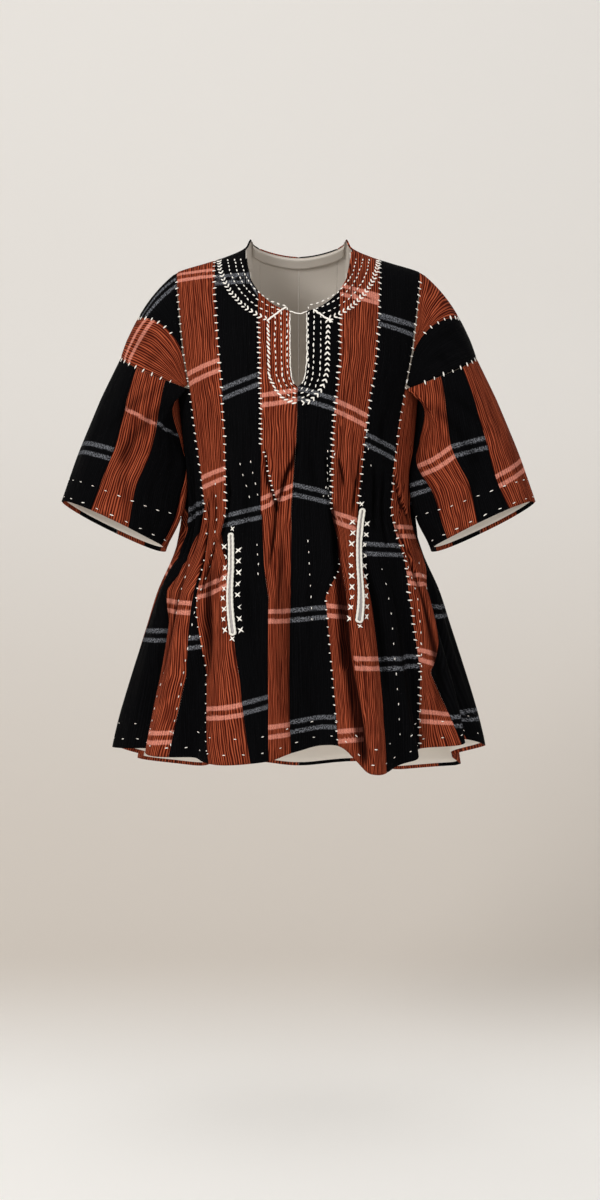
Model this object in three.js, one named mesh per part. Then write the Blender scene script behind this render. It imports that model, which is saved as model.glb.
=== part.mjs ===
// A child's smock top of narrow handwoven strips sewn edge to edge, worn and filled out.
// Millimetres, +Z up, front towards -Y. The origin lies between the two points where the
// garment rests on the wearer's shoulders beside the neck.
import * as THREE from 'three';

// Cloth and seams
const wall = 2;            // woven strip with its lining
const facing = 1;          // thin cream cloth of the facings
const seamGap = 0.3;       // between neighbouring pieces
const cordRadius = 1.5;    // pocket cord
const cordLift = 1.93;     // its middle above the strips

// Body: a row for each level, with the half width and the depths from the side line.
const bodyPower = 2.2;     // squareness of every level's outline
const body = [
  { z: 30, half: 150, front: 54, back: 48 },
  { z: -27, half: 150, front: 72, back: 64 },
  { z: -62, half: 146, front: 84, back: 76 },
  { z: -100, half: 141, front: 94, back: 88 },
  { z: -150, half: 134, front: 99, back: 94 },
  { z: -200, half: 129, front: 97, back: 92 },
  { z: -250, half: 126, front: 92, back: 86 },
  { z: -290, half: 126, front: 89, back: 82 },
  { z: -330, half: 137, front: 97, back: 88 },
  { z: -370, half: 154, front: 108, back: 98 },
  { z: -410, half: 165, front: 117, back: 107 },
  { z: -460, half: 178, front: 128, back: 118 },
  { z: -500, half: 188, front: 136, back: 126 },
  { z: -540, half: 197, front: 143, back: 133 },
  { z: -600, half: 208, front: 150, back: 141 },
];

// Shoulder line, neck and keyhole slit
const shoulder = [
  { x: 0, z: 13 },
  { x: 52, z: 13 },
  { x: 57, z: 4 },
  { x: 78, z: -6 },
  { x: 100, z: -13 },
  { x: 132, z: -23 },
  { x: 150, z: -34 },
];
const crownFront = 95;     // how far below the shoulder line the front rounds over
const crownBack = 55;
const neckHalf = 57;
const neckDropFront = 62;
const neckHalfBack = 52;
const neckDropBack = 20;
const slitHalf = 6.8;      // keyhole slit at the neck, half its width
const slitEnd = -140;
const slitRound = 6;       // how late the slit's sides draw in to its rounded foot
const armpit = -146;

// Hem height round the body, by degrees from the middle of the front
const hem = [
  { turn: -90, z: -546 },
  { turn: -60, z: -537 },
  { turn: -20, z: -537 },
  { turn: 3, z: -524 },
  { turn: 20, z: -547 },
  { turn: 38, z: -538 },
  { turn: 50, z: -526 },
  { turn: 66, z: -524 },
  { turn: 78, z: -533 },
  { turn: 90, z: -546 },
  { turn: 105, z: -561 },
  { turn: 128, z: -588 },
  { turn: 180, z: -593 },
  { turn: 225, z: -585 },
  { turn: 250, z: -566 },
  { turn: 270, z: -546 },
];

// Skirt folds: where each runs, half its spread in degrees, how far it stands out at the
// hem (inwards below zero), and the height where it starts.
const folds = [
  { turn: -86, spread: 8, out: 9, from: -330 },
  { turn: -66, spread: 7, out: -18, from: -290 },
  { turn: -48, spread: 7, out: 11, from: -290 },
  { turn: -35, spread: 5, out: -12, from: -270 },
  { turn: -21, spread: 8, out: 16, from: -280 },
  { turn: 5, spread: 9, out: -28, from: -250 },
  { turn: 20, spread: 6, out: 20, from: -280 },
  { turn: 33, spread: 6, out: -8, from: -300 },
  { turn: 48, spread: 6, out: -26, from: -270 },
  { turn: 60, spread: 5, out: 12, from: -310 },
  { turn: 71, spread: 6, out: -20, from: -290 },
  { turn: 88, spread: 8, out: 10, from: -330 },
  { turn: 108, spread: 8, out: -18, from: -280 },
  { turn: 126, spread: 8, out: 15, from: -300 },
  { turn: 145, spread: 8, out: -21, from: -270 },
  { turn: 163, spread: 8, out: 16, from: -300 },
  { turn: 180, spread: 7, out: -17, from: -260 },
  { turn: 198, spread: 8, out: 17, from: -290 },
  { turn: 216, spread: 8, out: -22, from: -270 },
  { turn: 234, spread: 8, out: 14, from: -310 },
  { turn: 252, spread: 8, out: -16, from: -280 },
];

// Seams of the body: degrees round it at each of these levels. A gore's two seams part
// from the seam that it is let into at the level of its point.
const levels = [20, -110, -195, -272, -300, -330, -365, -450, -545, -600];
const seams = {
  leftSide: [-90, -90, -90, -82, -71, -76, -86, -88, -88, -86],
  goreOne: [-60, -61, -58, -53, -57.5, -63, -72, -60, -60, -59],
  goreTwo: [-60, -61, -58, -53, -50, -48, -45.6, -41, -42.3, -42],
  one: [-60, -61, -58, -53, -50, -46.2, -43.7, -34.3, -24.8, -23.5],
  two: [-35, -35.1, -35.7, -36.8, -39.6, -32.5, -25.4, -17.6, -12.3, -11.3],
  three: [-14.5, -15.3, -16, -16.8, -15.4, -13.6, -10.3, -8.9, -7.7, -7.5],
  middle: [0, 0, -0.6, -2.6, -2.7, -2.5, -2.2, -2.1, -1.6, -1.5],
  four: [14.5, 16.2, 14.2, 14.3, 17.1, 16.5, 9.6, 11, 11.7, 11.7],
  goreThree: [14.5, 16.2, 14.2, 14.3, 17.1, 17.5, 17.5, 17.1, 16.9, 16.8],
  five: [33, 34.5, 31.5, 28.6, 28.1, 27.8, 29, 28.2, 25.3, 25],
  six: [60.5, 59.3, 54.1, 51.5, 54.2, 56.3, 51.9, 50.5, 46, 45.8],
  seven: [77, 79, 82, 82, 83, 85, 71.7, 54.4, 59.5, 59],
  goreFour: [86, 86, 87, 88, 88, 89, 82, 66, 65, 64.5],
  goreFive: [86, 86, 87, 88, 88, 89, 82, 67.5, 79, 80],
  rightSide: [95, 95, 95, 95, 95, 95, 94, 90, 88, 87],
  backOne: [119.5, 119, 119, 118, 118, 118, 119, 120, 121, 121],
  backTwo: [147, 146, 145, 144, 143, 142, 140.5, 136.5, 133, 132],
  goreSix: [147, 146, 145, 144, 145, 146, 148, 150.5, 152, 152],
  backThree: [165.5, 165, 165, 165, 165, 165, 165.5, 166, 166, 166],
  backMiddle: [180, 180, 180, 180, 180, 180, 180, 180, 180, 180],
  backFour: [194.5, 195, 195, 195, 195, 195, 194.5, 194, 194, 194],
  goreSeven: [213, 214, 215, 215.5, 214.8, 214, 212, 209.5, 208, 208],
  backFive: [213, 214, 215, 215.5, 216.8, 218, 220, 221.8, 223, 223],
  backSix: [240, 241, 241, 242, 242, 242, 241, 240, 239, 239],
  backSide: [270, 270, 270, 278, 289, 284, 274, 272, 272, 274],
};

// Rows of every body piece: shares of the way from the top edge to the armpit, then
// heights, then shares of the way to the hem.
const topRows = [0, 0.012, 0.05, 0.12, 0.24, 0.42, 0.68, 1];
const lowRows = [-195, -240, -272, -285, -300, -315, -330, -365, -405, -450, -500];
const hemRows = [0.5, 1];
const thirds = [0, 1 / 3, 2 / 3, 1];
const fourths = [0, 0.25, 0.5, 0.75, 1];
const neckLeft = [0, 0.37, 0.73, 0.78, 0.88, 1];
const neckRight = neckLeft.map((share) => 1 - share).reverse();

// Body pieces: their two seams, cloth, and where they start below the shoulder.
const bodyPieces = [
  { name: 'front_strip_1', cloth: 'black', from: 'leftSide', to: 'goreOne', start: armpit },
  { name: 'gore_front_left_rust', cloth: 'rust', from: 'goreOne', to: 'goreTwo', start: -285 },
  { name: 'gore_front_left_black', cloth: 'black', from: 'goreTwo', to: 'one', start: -315 },
  { name: 'front_strip_2', cloth: 'rust', from: 'one', to: 'two' },
  { name: 'front_strip_3', cloth: 'black', from: 'two', to: 'three', columns: neckLeft },
  { name: 'front_strip_4', cloth: 'rust', from: 'three', to: 'middle' },
  { name: 'front_strip_5', cloth: 'black', from: 'middle', to: 'four' },
  { name: 'gore_front_middle', cloth: 'rust', from: 'four', to: 'goreThree', start: -330 },
  { name: 'front_strip_6', cloth: 'rust', from: 'goreThree', to: 'five', columns: neckRight },
  { name: 'front_strip_7', cloth: 'black', from: 'five', to: 'six', columns: fourths },
  { name: 'front_strip_8', cloth: 'rust', from: 'six', to: 'seven', start: armpit },
  { name: 'side_strip_right', cloth: 'black', from: 'seven', to: 'goreFour', start: armpit },
  { name: 'gore_side_right', cloth: 'rust', from: 'goreFour', to: 'goreFive', start: -450 },
  { name: 'side_strip_right_back', cloth: 'black', from: 'goreFive', to: 'rightSide', start: armpit },
  { name: 'back_strip_8', cloth: 'rust', from: 'rightSide', to: 'backOne', start: armpit },
  { name: 'back_strip_7', cloth: 'black', from: 'backOne', to: 'backTwo' },
  { name: 'gore_back_right', cloth: 'rust', from: 'backTwo', to: 'goreSix', start: -285 },
  { name: 'back_strip_6', cloth: 'rust', from: 'goreSix', to: 'backThree', columns: neckLeft },
  { name: 'back_strip_5', cloth: 'black', from: 'backThree', to: 'backMiddle' },
  { name: 'back_strip_4', cloth: 'rust', from: 'backMiddle', to: 'backFour' },
  { name: 'back_strip_3', cloth: 'black', from: 'backFour', to: 'goreSeven', columns: neckRight },
  { name: 'gore_back_left', cloth: 'rust', from: 'goreSeven', to: 'backFive', start: -285 },
  { name: 'back_strip_2', cloth: 'rust', from: 'backFive', to: 'backSix' },
  { name: 'back_strip_1', cloth: 'rust', from: 'backSix', to: 'backSide', start: armpit },
];

// Sleeves, worked out for the wearer's right, at the viewer's left: the outer and inner
// edge of each row, the depth either side of the middle, how far forward the middle lies,
// how much higher the front of the row is than its back, and how far the front's inner
// part laps towards the body.
const sleeve = [
  { t: 0, outX: 194, outZ: -116, inX: 134, inZ: -146, depth: 55, fore: 0, rise: 0, lap: 0 },
  { t: 0.25, outX: 217, outZ: -163, inX: 135, inZ: -188, depth: 56, fore: 3, rise: 3, lap: 7 },
  { t: 0.5, outX: 236, outZ: -207, inX: 136, inZ: -236, depth: 54, fore: 7, rise: 7, lap: 15 },
  { t: 0.78, outX: 250, outZ: -246, inX: 140, inZ: -288, depth: 52, fore: 11, rise: 11, lap: 15 },
  { t: 1, outX: 259, outZ: -272, inX: 146, inZ: -326, depth: 50, fore: 14, rise: 14, lap: 3 },
];
const corner = 115;        // degrees round the sleeve to the armhole's lower corner
const capSeamTop = 0.6;    // share of the cap's length above its middle seam, at the top
const capSeamEnd = 72;     // degrees round the cap where that seam meets the armhole
const capBulge = 9;
const lapMiddle = 155;     // degrees round the sleeve where it laps most, and its spread
const lapSpread = 22;
const capColumns = [
  -88, -82, -74, -70, -64, -54, -42, -28, -14, 0, 14, 28, 42, 54, 64, 70, 74, 82, 88,
];
const capUpperLimit = 70;  // the upper piece ends here, just short of that seam's end
const sleeveSeamRows = [0, 0.4, 0.7, 1];
// Seams of the sleeve's lower part: degrees round it at those rows, front first.
const sleeveSeams = {
  left: [
    [180, 200, 203, 205],
    [corner, 158, 151, 153],
    [96, 121, 104, 105],
    [58, 77, 69, 69],
    [-3, 0, -1, -2],
    [-38, -44, -45, -46],
    [-76, -86, -88, -90],
    [-corner, -124, -123, -122],
    [-180, -160, -157, -155],
  ],
  right: [
    [180, 200, 203, 205],
    [corner, 152, 135, 134],
    [84, 115, 101, 98],
    [54, 69, 71, 66],
    [-3, 0, -1, -2],
    [-38, -44, -45, -46],
    [-76, -86, -88, -90],
    [-corner, -124, -123, -122],
    [-180, -160, -157, -155],
  ],
};
const sleeveRows = [0, 0.12, 0.25, 0.38, 0.5, 0.63, 0.76, 0.88, 1];

// Facings and pocket slits
const hemFacingRows = 3;   // the facing lies behind the last rows of the body
const cuffFacingStart = 0.76;
const inset = wall + 2 * seamGap;
const sleeveGap = 0.45;    // half a seam gap round the sleeve, degrees
const armpitGap = 0.9;
const neckFacingWidth = 12;
const neckClear = 0.5;
const pockets = [
  { name: 'pocket_cord_left', top: -302, bottom: -401, turn: -31.2, lean: 11.2, half: 2.4 },
  { name: 'pocket_cord_right', top: -275, bottom: -388, turn: 30.6, lean: -10, half: 2.4 },
];

const deg = Math.PI / 180;

function material(name, colour, roughness) {
  const made = new THREE.MeshStandardMaterial({ color: colour, roughness, metalness: 0 });
  made.name = name;
  return made;
}

const cloths = {
  rust: () => material('rust_strip', 0x8c3c24, 0.9),
  black: () => material('black_strip', 0x151517, 0.9),
  cream: () => material('cream_lining', 0xdfd8cc, 0.95),
  cord: () => material('white_cord', 0xebe6dc, 0.85),
};

// Smooth curve through one column of a table, by another column that runs one way.
function along(rows, key, column, at) {
  const up = rows[rows.length - 1][key] > rows[0][key] ? 1 : -1;
  let k = 0;
  while (k < rows.length - 2 && (at - rows[k + 1][key]) * up > 0) k += 1;
  const slope = (i, j) => (rows[j][column] - rows[i][column]) / (rows[j][key] - rows[i][key]);
  const span = rows[k + 1][key] - rows[k][key];
  const s = Math.min(1, Math.max(0, (at - rows[k][key]) / span));
  const before = slope(Math.max(0, k - 1), k + 1) * span;
  const after = slope(k, Math.min(rows.length - 1, k + 2)) * span;
  const a = rows[k][column];
  const b = rows[k + 1][column];
  const s2 = s * s;
  const s3 = s2 * s;
  return a * (2 * s3 - 3 * s2 + 1) + before * (s3 - 2 * s2 + s)
    + b * (3 * s2 - 2 * s3) + after * (s3 - s2);
}

function table(keys, values) {
  return keys.map((key, i) => ({ key, value: values[i] }));
}

// A seam runs straight from one level to the next.
function seamTurn(name, z) {
  let k = 0;
  while (k < levels.length - 2 && z < levels[k + 1]) k += 1;
  const share = (levels[k] - z) / (levels[k] - levels[k + 1]);
  return seams[name][k] + (seams[name][k + 1] - seams[name][k]) * Math.max(0, share);
}

const signedPower = (value, power) => Math.sign(value) * Math.abs(value) ** power;
const clamp = (value) => Math.min(1, Math.max(0, value));
const smoothStep = (value) => clamp(value) ** 2 * (3 - 2 * clamp(value));

// A turn brought within the hem's and the folds' own range, -90 to 270.
const wrapTurn = (turn) => ((turn + 90 + 720) % 360) - 90;
const shoulderZ = (x) => along(shoulder, 'x', 'z', Math.min(150, Math.abs(x)));
const hemZ = (turn) => along(hem, 'turn', 'z', wrapTurn(turn));

function foldOut(turn, z) {
  let out = 0;
  for (const fold of folds) {
    const away = ((turn - fold.turn + 900) % 360) - 180;
    const grown = smoothStep((fold.from - z) / (fold.from - hemZ(turn)));
    out += fold.out * Math.exp(-((away / fold.spread) ** 2)) * grown;
  }
  return out;
}

function bodyPoint(turn, z) {
  const s = Math.sin(turn * deg);
  const c = Math.cos(turn * deg);
  const isFront = c >= 0;
  const x = along(body, 'z', 'half', z) * signedPower(s, 2 / bodyPower);
  const depth = along(body, 'z', isFront ? 'front' : 'back', z);
  const crown = isFront ? crownFront : crownBack;
  const below = clamp((shoulderZ(x) - z) / crown);
  const round = Math.sqrt(1 - (1 - below) ** 2);
  const out = foldOut(turn, z);
  const y = -depth * signedPower(c, 2 / bodyPower) * round;
  return new THREE.Vector3(x + out * s, y - out * c, z);
}

// Outward direction of a surface, from a small step along each of its two ways.
function normalOf(surface, u, v, stepU, stepV, outward) {
  const alongU = surface(u + stepU, v).sub(surface(u - stepU, v));
  const alongV = surface(u, v + stepV).sub(surface(u, v - stepV));
  const normal = alongU.cross(alongV).normalize();
  return normal.dot(outward) < 0 ? normal.negate() : normal;
}

function bodyNormal(turn, z) {
  const ridge = shoulderZ(bodyPoint(turn, z).x);
  const level = Math.min(z, ridge - 1.2);
  const outward = new THREE.Vector3(Math.sin(turn * deg), -Math.cos(turn * deg), 0.4);
  return normalOf(bodyPoint, turn, level, 0.4, 1, outward);
}

// Top edge of the body at a turn: the shoulder line, or the neck's edge.
function topZ(turn) {
  const x = Math.abs(bodyPoint(turn, -30).x);
  const line = shoulderZ(x);
  const isFront = Math.cos(turn * deg) >= 0;
  const half = isFront ? neckHalf : neckHalfBack;
  if (x >= half) return line;
  const drop = Math.sqrt(1 - (x / half) ** 2);
  return isFront ? Math.min(line, -neckDropFront * drop) : line - neckDropBack * drop;
}

// Turn of a piece's edge, kept clear of the keyhole slit.
function edgeTurn(name, z, towards) {
  const turn = seamTurn(name, z);
  const open = name === 'middle' ? clamp((z - slitEnd) / (-neckDropFront - slitEnd)) : 0;
  const half = along(body, 'z', 'half', z);
  const gap = name.endsWith('iddle') ? seamGap * 0.3 : seamGap * 0.6;
  const clear = gap + slitHalf * Math.sqrt(1 - (1 - open) ** slitRound);
  return turn + (towards * clear) / half / deg;
}

function rowHeights(turn, start) {
  const top = start === undefined ? topZ(turn) : start;
  const upper = start === undefined
    ? topRows.map((share) => top + (armpit - top) * share)
    : [start];
  const middle = lowRows.filter((z) => z < top - 4);
  const last = lowRows[lowRows.length - 1];
  const base = Math.min(last, top);
  const lower = hemRows.map((share) => base + (hemZ(turn) - base) * share);
  return [...upper, ...middle, ...lower];
}

// Closed wall from a grid of points with outward directions.
function wallGeometry(grid, outside, inside, closed = false) {
  const rows = grid.length;
  const columns = grid[0].length;
  const corners = [];
  for (const offset of [outside, inside]) {
    for (const row of grid) {
      for (const { point, normal } of row) {
        const at = point.clone().addScaledVector(normal, offset);
        corners.push(at.x, at.y, at.z);
      }
    }
  }
  const layer = rows * columns;
  const index = [];
  const quad = (a, b, c, d) => index.push(a, b, c, a, c, d);
  const at = (i, j, k) => k * layer + i * columns + (j % columns);
  const spans = closed ? columns : columns - 1;
  for (let i = 0; i < rows - 1; i += 1) {
    for (let j = 0; j < spans; j += 1) {
      quad(at(i, j, 0), at(i + 1, j, 0), at(i + 1, j + 1, 0), at(i, j + 1, 0));
      quad(at(i, j, 1), at(i, j + 1, 1), at(i + 1, j + 1, 1), at(i + 1, j, 1));
    }
  }
  // Both sides of a seam split their edge faces the same way.
  const end = rows - 1;
  for (let j = 0; j < spans; j += 1) {
    quad(at(0, j, 0), at(0, j + 1, 0), at(0, j + 1, 1), at(0, j, 1));
    quad(at(end, j + 1, 1), at(end, j + 1, 0), at(end, j, 0), at(end, j, 1));
  }
  if (!closed) {
    for (let i = 0; i < rows - 1; i += 1) {
      const last = columns - 1;
      quad(at(i + 1, 0, 1), at(i + 1, 0, 0), at(i, 0, 0), at(i, 0, 1));
      quad(at(i, last, 0), at(i + 1, last, 0), at(i + 1, last, 1), at(i, last, 1));
    }
  }
  const geometry = new THREE.BufferGeometry();
  geometry.setAttribute('position', new THREE.Float32BufferAttribute(corners, 3));
  geometry.setIndex(index);
  geometry.computeVertexNormals();
  return geometry;
}

function addPiece(group, name, cloth, geometry) {
  const mesh = new THREE.Mesh(geometry, cloths[cloth]());
  mesh.name = name;
  group.add(mesh);
}

function bodyGrid(piece) {
  const columns = piece.columns ?? thirds;
  const grid = [];
  const count = rowHeights(0, piece.start).length;
  for (let i = 0; i < count; i += 1) {
    grid.push(columns.map((share) => {
      let z = piece.start ?? -30;
      let turn = 0;
      for (let pass = 0; pass < 4; pass += 1) {
        const from = edgeTurn(piece.from, z, 1);
        const to = edgeTurn(piece.to, z, -1);
        turn = from + (to - from) * share;
        z = rowHeights(turn, piece.start)[i];
      }
      const point = bodyPoint(turn, z);
      const normal = bodyNormal(turn, z);
      const isRidge = piece.start === undefined && i === 0 && Math.abs(point.y) < 1;
      if (isRidge) {
        point.y = Math.cos(turn * deg) > 0 ? -seamGap : seamGap;
        normal.setY(0).normalize();
      }
      return { point, normal };
    }));
  }
  return grid;
}

function addBody(group) {
  for (const piece of bodyPieces) {
    addPiece(group, piece.name, piece.cloth, wallGeometry(bodyGrid(piece), 0, -wall));
  }
}

// The armhole's edge on the body, by degrees round the sleeve's top: 0 at the shoulder.
function armholePoint(side, round) {
  const lean = Math.abs(round) / corner * 90;
  const isFront = round > 0;
  const top = shoulderZ(132);
  const z = top + (armpit - top) * (1 - Math.cos(lean * deg));
  const seamName = side < 0 ? (isFront ? 'one' : 'backSix') : (isFront ? 'six' : 'backOne');
  const point = bodyPoint(seamTurn(seamName, z), Math.min(z, top));
  point.x += side * seamGap * 1.6;
  if (Math.abs(round) < 1e-6) point.y = 0;
  return point;
}

// One row of the sleeve as a flat loop, before the armhole draws its top in.
function sleeveLoop(side, round, t) {
  const value = (column) => along(sleeve, 't', column, clamp(t));
  const c = Math.cos(round * deg);
  const s = Math.sin(round * deg);
  const midX = (value('outX') + value('inX')) / 2;
  const midZ = (value('outZ') + value('inZ')) / 2;
  const reach = signedPower(c, 2 / bodyPower);
  const away = ((round - lapMiddle + 900) % 360) - 180;
  const lap = value('lap') * Math.exp(-((away / lapSpread) ** 2));
  const x = midX + (value('outX') - midX) * reach - lap;
  const z = midZ + (value('outZ') - midZ) * reach + value('rise') * s;
  const y = -value('fore') - value('depth') * signedPower(s, 2 / bodyPower);
  return new THREE.Vector3(side * x, y, z);
}

// Top edge of the sleeve's lower part: out over the arm, then back along the armpit.
function sleeveTop(side, round) {
  const wrapped = ((round + 900) % 360) - 180;
  const first = sleeve[0];
  if (Math.abs(wrapped) <= corner) {
    const lean = wrapped / corner * 90;
    const end = armholePoint(side, wrapped >= 0 ? corner : -corner);
    const reach = Math.cos(lean * deg) ** (2 / 2.4);
    const out = Math.abs(Math.sin(lean * deg)) ** (2 / 2.4);
    const x = end.x + (side * first.outX - end.x) * reach;
    const swell = 1 + 0.12 * Math.sin(2 * Math.abs(lean) * deg);
    const z = armpit + (first.outZ - armpit) * reach;
    return new THREE.Vector3(x, end.y * out * swell, z);
  }
  const share = (Math.abs(wrapped) - corner) / (180 - corner);
  const isFront = wrapped > 0;
  const seamName = side < 0 ? (isFront ? 'one' : 'backSix') : (isFront ? 'six' : 'backOne');
  const from = seamTurn(seamName, armpit);
  const middle = side < 0 ? (isFront ? -90 : 270) : 90;
  const turn = from + (middle - from) * share;
  const point = bodyPoint(turn, armpit);
  const away = bodyNormal(turn, armpit).setZ(0).normalize();
  return point.addScaledVector(away, armpitGap);
}

// The whole sleeve as one surface: t from -1 at the armhole, 0 at the seam below the cap,
// 1 at the cuff.
function sleevePoint(side, round, t) {
  if (t < 0) {
    const wrapped = Math.max(-corner, Math.min(corner, ((round + 900) % 360) - 180));
    const share = 1 + Math.max(-1, t);
    const lean = wrapped / corner * 90;
    const from = armholePoint(side, wrapped === 0 ? 0 : wrapped);
    const to = sleeveTop(side, wrapped);
    const swell = capBulge * 4 * share * (1 - share) * Math.cos(lean * deg);
    const point = from.lerp(to, share);
    point.x += side * swell * 0.7;
    point.z += swell * 0.7;
    point.y -= Math.sin(lean * deg) * swell * 0.5;
    return point;
  }
  const fade = (1 - clamp(t / 0.55)) ** 2;
  const draw = sleeveTop(side, round).sub(sleeveLoop(side, round, 0));
  return sleeveLoop(side, round, t).addScaledVector(draw, fade);
}

function sleeveNormal(side, round, t) {
  const surface = (u, v) => sleevePoint(side, u, v);
  const wrapped = ((round + 900) % 360) - 180;
  const isCap = Math.abs(wrapped) < corner - 3;
  const stepT = 0.02;
  const lowest = isCap ? -1 + stepT : stepT;
  const at = Math.min(1 - stepT, Math.max(lowest, t));
  const middle = sleeveLoop(side, 0, clamp(t)).add(sleeveLoop(side, 180, clamp(t))).multiplyScalar(0.5);
  if (t < 0) middle.set(side * 122, 0, -100);
  const outward = sleevePoint(side, round, t).sub(middle);
  return normalOf(surface, round, at, 1.5, stepT, outward);
}

// Share of the cap above its middle seam at each place round it, from -1 to 0.
function capSeam(round) {
  const lean = clamp(Math.abs(round) / (capSeamEnd / 90 * corner));
  return -1 + capSeamTop * (1 - lean ** 1.7);
}

function capGrid(side, limit, above) {
  const rows = above ? [0, 1 / 3, 2 / 3, 1] : [0, 0.5, 1];
  const clear = 0.0025;    // half a seam's gap as a share of the cap's length
  return rows.map((share) => capColumns.map((lean) => {
    const round = Math.max(-limit, Math.min(limit, lean)) / 90 * corner;
    const seam = capSeam(round);
    const from = above ? -1 : Math.max(-1, seam + clear);
    const to = above ? Math.max(-0.97, seam - clear) : -clear;
    const t = from + (to - from) * share;
    return { point: sleevePoint(side, round, t), normal: sleeveNormal(side, round, t) };
  }));
}

// A grid's columns turned round where the surface runs the other way.
const facingOut = (grid, side) => (side < 0 ? grid.map((row) => [...row].reverse()) : grid);

function capColumnsWithin(grid, limit) {
  return grid.map((row) => row.filter((_, j) => Math.abs(capColumns[j]) <= limit));
}

function addSleeve(group, side) {
  const label = side < 0 ? 'left' : 'right';
  const cloth = (isDark) => (isDark === side < 0 ? 'black' : 'rust');
  const upper = capColumnsWithin(capGrid(side, 90, true), capUpperLimit);
  const lower = capGrid(side, 90, false);
  const capUpper = wallGeometry(facingOut(upper, -side), 0, -wall);
  const capLower = wallGeometry(facingOut(lower, -side), 0, -wall);
  addPiece(group, `sleeve_${label}_cap_upper`, cloth(true), capUpper);
  addPiece(group, `sleeve_${label}_cap_lower`, cloth(false), capLower);

  const cuffGrid = [];
  const ownSeams = sleeveSeams[label];
  for (let k = 0; k < ownSeams.length - 1; k += 1) {
    const seamAt = (seam, t) => along(table(sleeveSeamRows, seam), 'key', 'value', t);
    const isUnderarm = k === 0 || k === ownSeams.length - 2;
    const columns = isUnderarm ? thirds : [0, 0.5, 1];
    const grid = sleeveRows.map((row) => columns.map((share) => {
      const t = Math.max(0.0025, row);
      const from = seamAt(ownSeams[k], t);
      const to = seamAt(ownSeams[k + 1], t);
      const round = from + (to - from) * share;
      const clear = share === 0 ? -sleeveGap : share === 1 ? sleeveGap : 0;
      return {
        point: sleevePoint(side, round + clear, t),
        normal: sleeveNormal(side, round, t),
      };
    }));
    const strip = wallGeometry(facingOut(grid, side), 0, -wall);
    addPiece(group, `sleeve_${label}_strip_${k + 1}`, cloth(k % 2 === 1), strip);
    const first = sleeveRows.indexOf(cuffFacingStart);
    grid.slice(first).forEach((row, i) => (cuffGrid[i] ??= []).push(...row.slice(0, -1)));
  }
  const ring = wallGeometry(facingOut(cuffGrid, side), -inset, -inset - facing, true);
  addPiece(group, `cuff_facing_${label}`, 'cream', ring);
}

// Facing behind the hem: the last rows of the body pieces, moved in.
function addHemFacing(group) {
  const isBack = (piece) => piece.name.startsWith('back') || piece.name.startsWith('gore_back');
  const parts = [
    { name: 'hem_facing_front', pieces: bodyPieces.filter((piece) => !isBack(piece)) },
    { name: 'hem_facing_back', pieces: bodyPieces.filter(isBack) },
  ];
  for (const part of parts) {
    const grid = [];
    part.pieces.forEach((piece, k) => {
      const isLast = k === part.pieces.length - 1;
      bodyGrid(piece).slice(-hemFacingRows).forEach((row, i) => {
        (grid[i] ??= []).push(...(isLast ? row : row.slice(0, -1)));
      });
    });
    addPiece(group, part.name, 'cream', wallGeometry(grid, -inset, -inset - facing));
  }
}

// Facing inside the neck's edge, one piece each side of the keyhole slit and one behind.
function addNeckFacing(group) {
  const parts = [
    { name: 'neck_facing_left', from: -19, to: -4.2 },
    { name: 'neck_facing_right', from: 4.2, to: 19 },
    { name: 'neck_facing_back', from: 161.5, to: 198.5 },
  ];
  for (const part of parts) {
    const count = 8;
    const grid = [0.4, neckFacingWidth].map((below) => {
      const row = [];
      for (let j = 0; j <= count; j += 1) {
        const turn = part.from + ((part.to - part.from) * j) / count;
        const z = topZ(turn) - below;
        row.push({ point: bodyPoint(turn, z), normal: bodyNormal(turn, z) });
      }
      return row;
    });
    const behind = -inset - neckClear;
    addPiece(group, part.name, 'cream', wallGeometry(grid, behind, behind - facing));
  }
}

// A closed cord round each pocket slit, lying on the strips.
function addPocketCords(group) {
  const steps = 10;
  const sides = 6;
  for (const pocket of pockets) {
    const middle = [];
    const turnAt = (z) => pocket.turn + pocket.lean * clamp((pocket.top - z) / (pocket.top - pocket.bottom));
    const place = (z, across) => {
      const turn = turnAt(z) + across / along(body, 'z', 'half', z) / deg;
      const point = bodyPoint(turn, z);
      return point.addScaledVector(bodyNormal(turn, z), cordLift);
    };
    for (let i = 0; i <= steps; i += 1) {
      middle.push(place(pocket.top + (pocket.bottom - pocket.top) * (i / steps), -pocket.half));
    }
    middle.push(place(pocket.bottom - pocket.half, 0));
    for (let i = steps; i >= 0; i -= 1) {
      middle.push(place(pocket.top + (pocket.bottom - pocket.top) * (i / steps), pocket.half));
    }
    middle.push(place(pocket.top + pocket.half, 0));
    const corners = [];
    const index = [];
    middle.forEach((point, i) => {
      const next = middle[(i + 1) % middle.length];
      const previous = middle[(i + middle.length - 1) % middle.length];
      const forward = next.clone().sub(previous).normalize();
      const across = new THREE.Vector3(0, -1, 0).cross(forward).normalize();
      const up = forward.clone().cross(across).normalize();
      for (let k = 0; k < sides; k += 1) {
        const angle = (k / sides) * 2 * Math.PI;
        const corner3 = point.clone()
          .addScaledVector(across, cordRadius * Math.cos(angle))
          .addScaledVector(up, cordRadius * Math.sin(angle));
        corners.push(corner3.x, corner3.y, corner3.z);
        const a = i * sides + k;
        const b = i * sides + ((k + 1) % sides);
        const c = ((i + 1) % middle.length) * sides + ((k + 1) % sides);
        const d = ((i + 1) % middle.length) * sides + k;
        index.push(a, b, c, a, c, d);
      }
    });
    const geometry = new THREE.BufferGeometry();
    geometry.setAttribute('position', new THREE.Float32BufferAttribute(corners, 3));
    geometry.setIndex(index);
    geometry.computeVertexNormals();
    addPiece(group, pocket.name, 'cord', geometry);
  }
}

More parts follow.
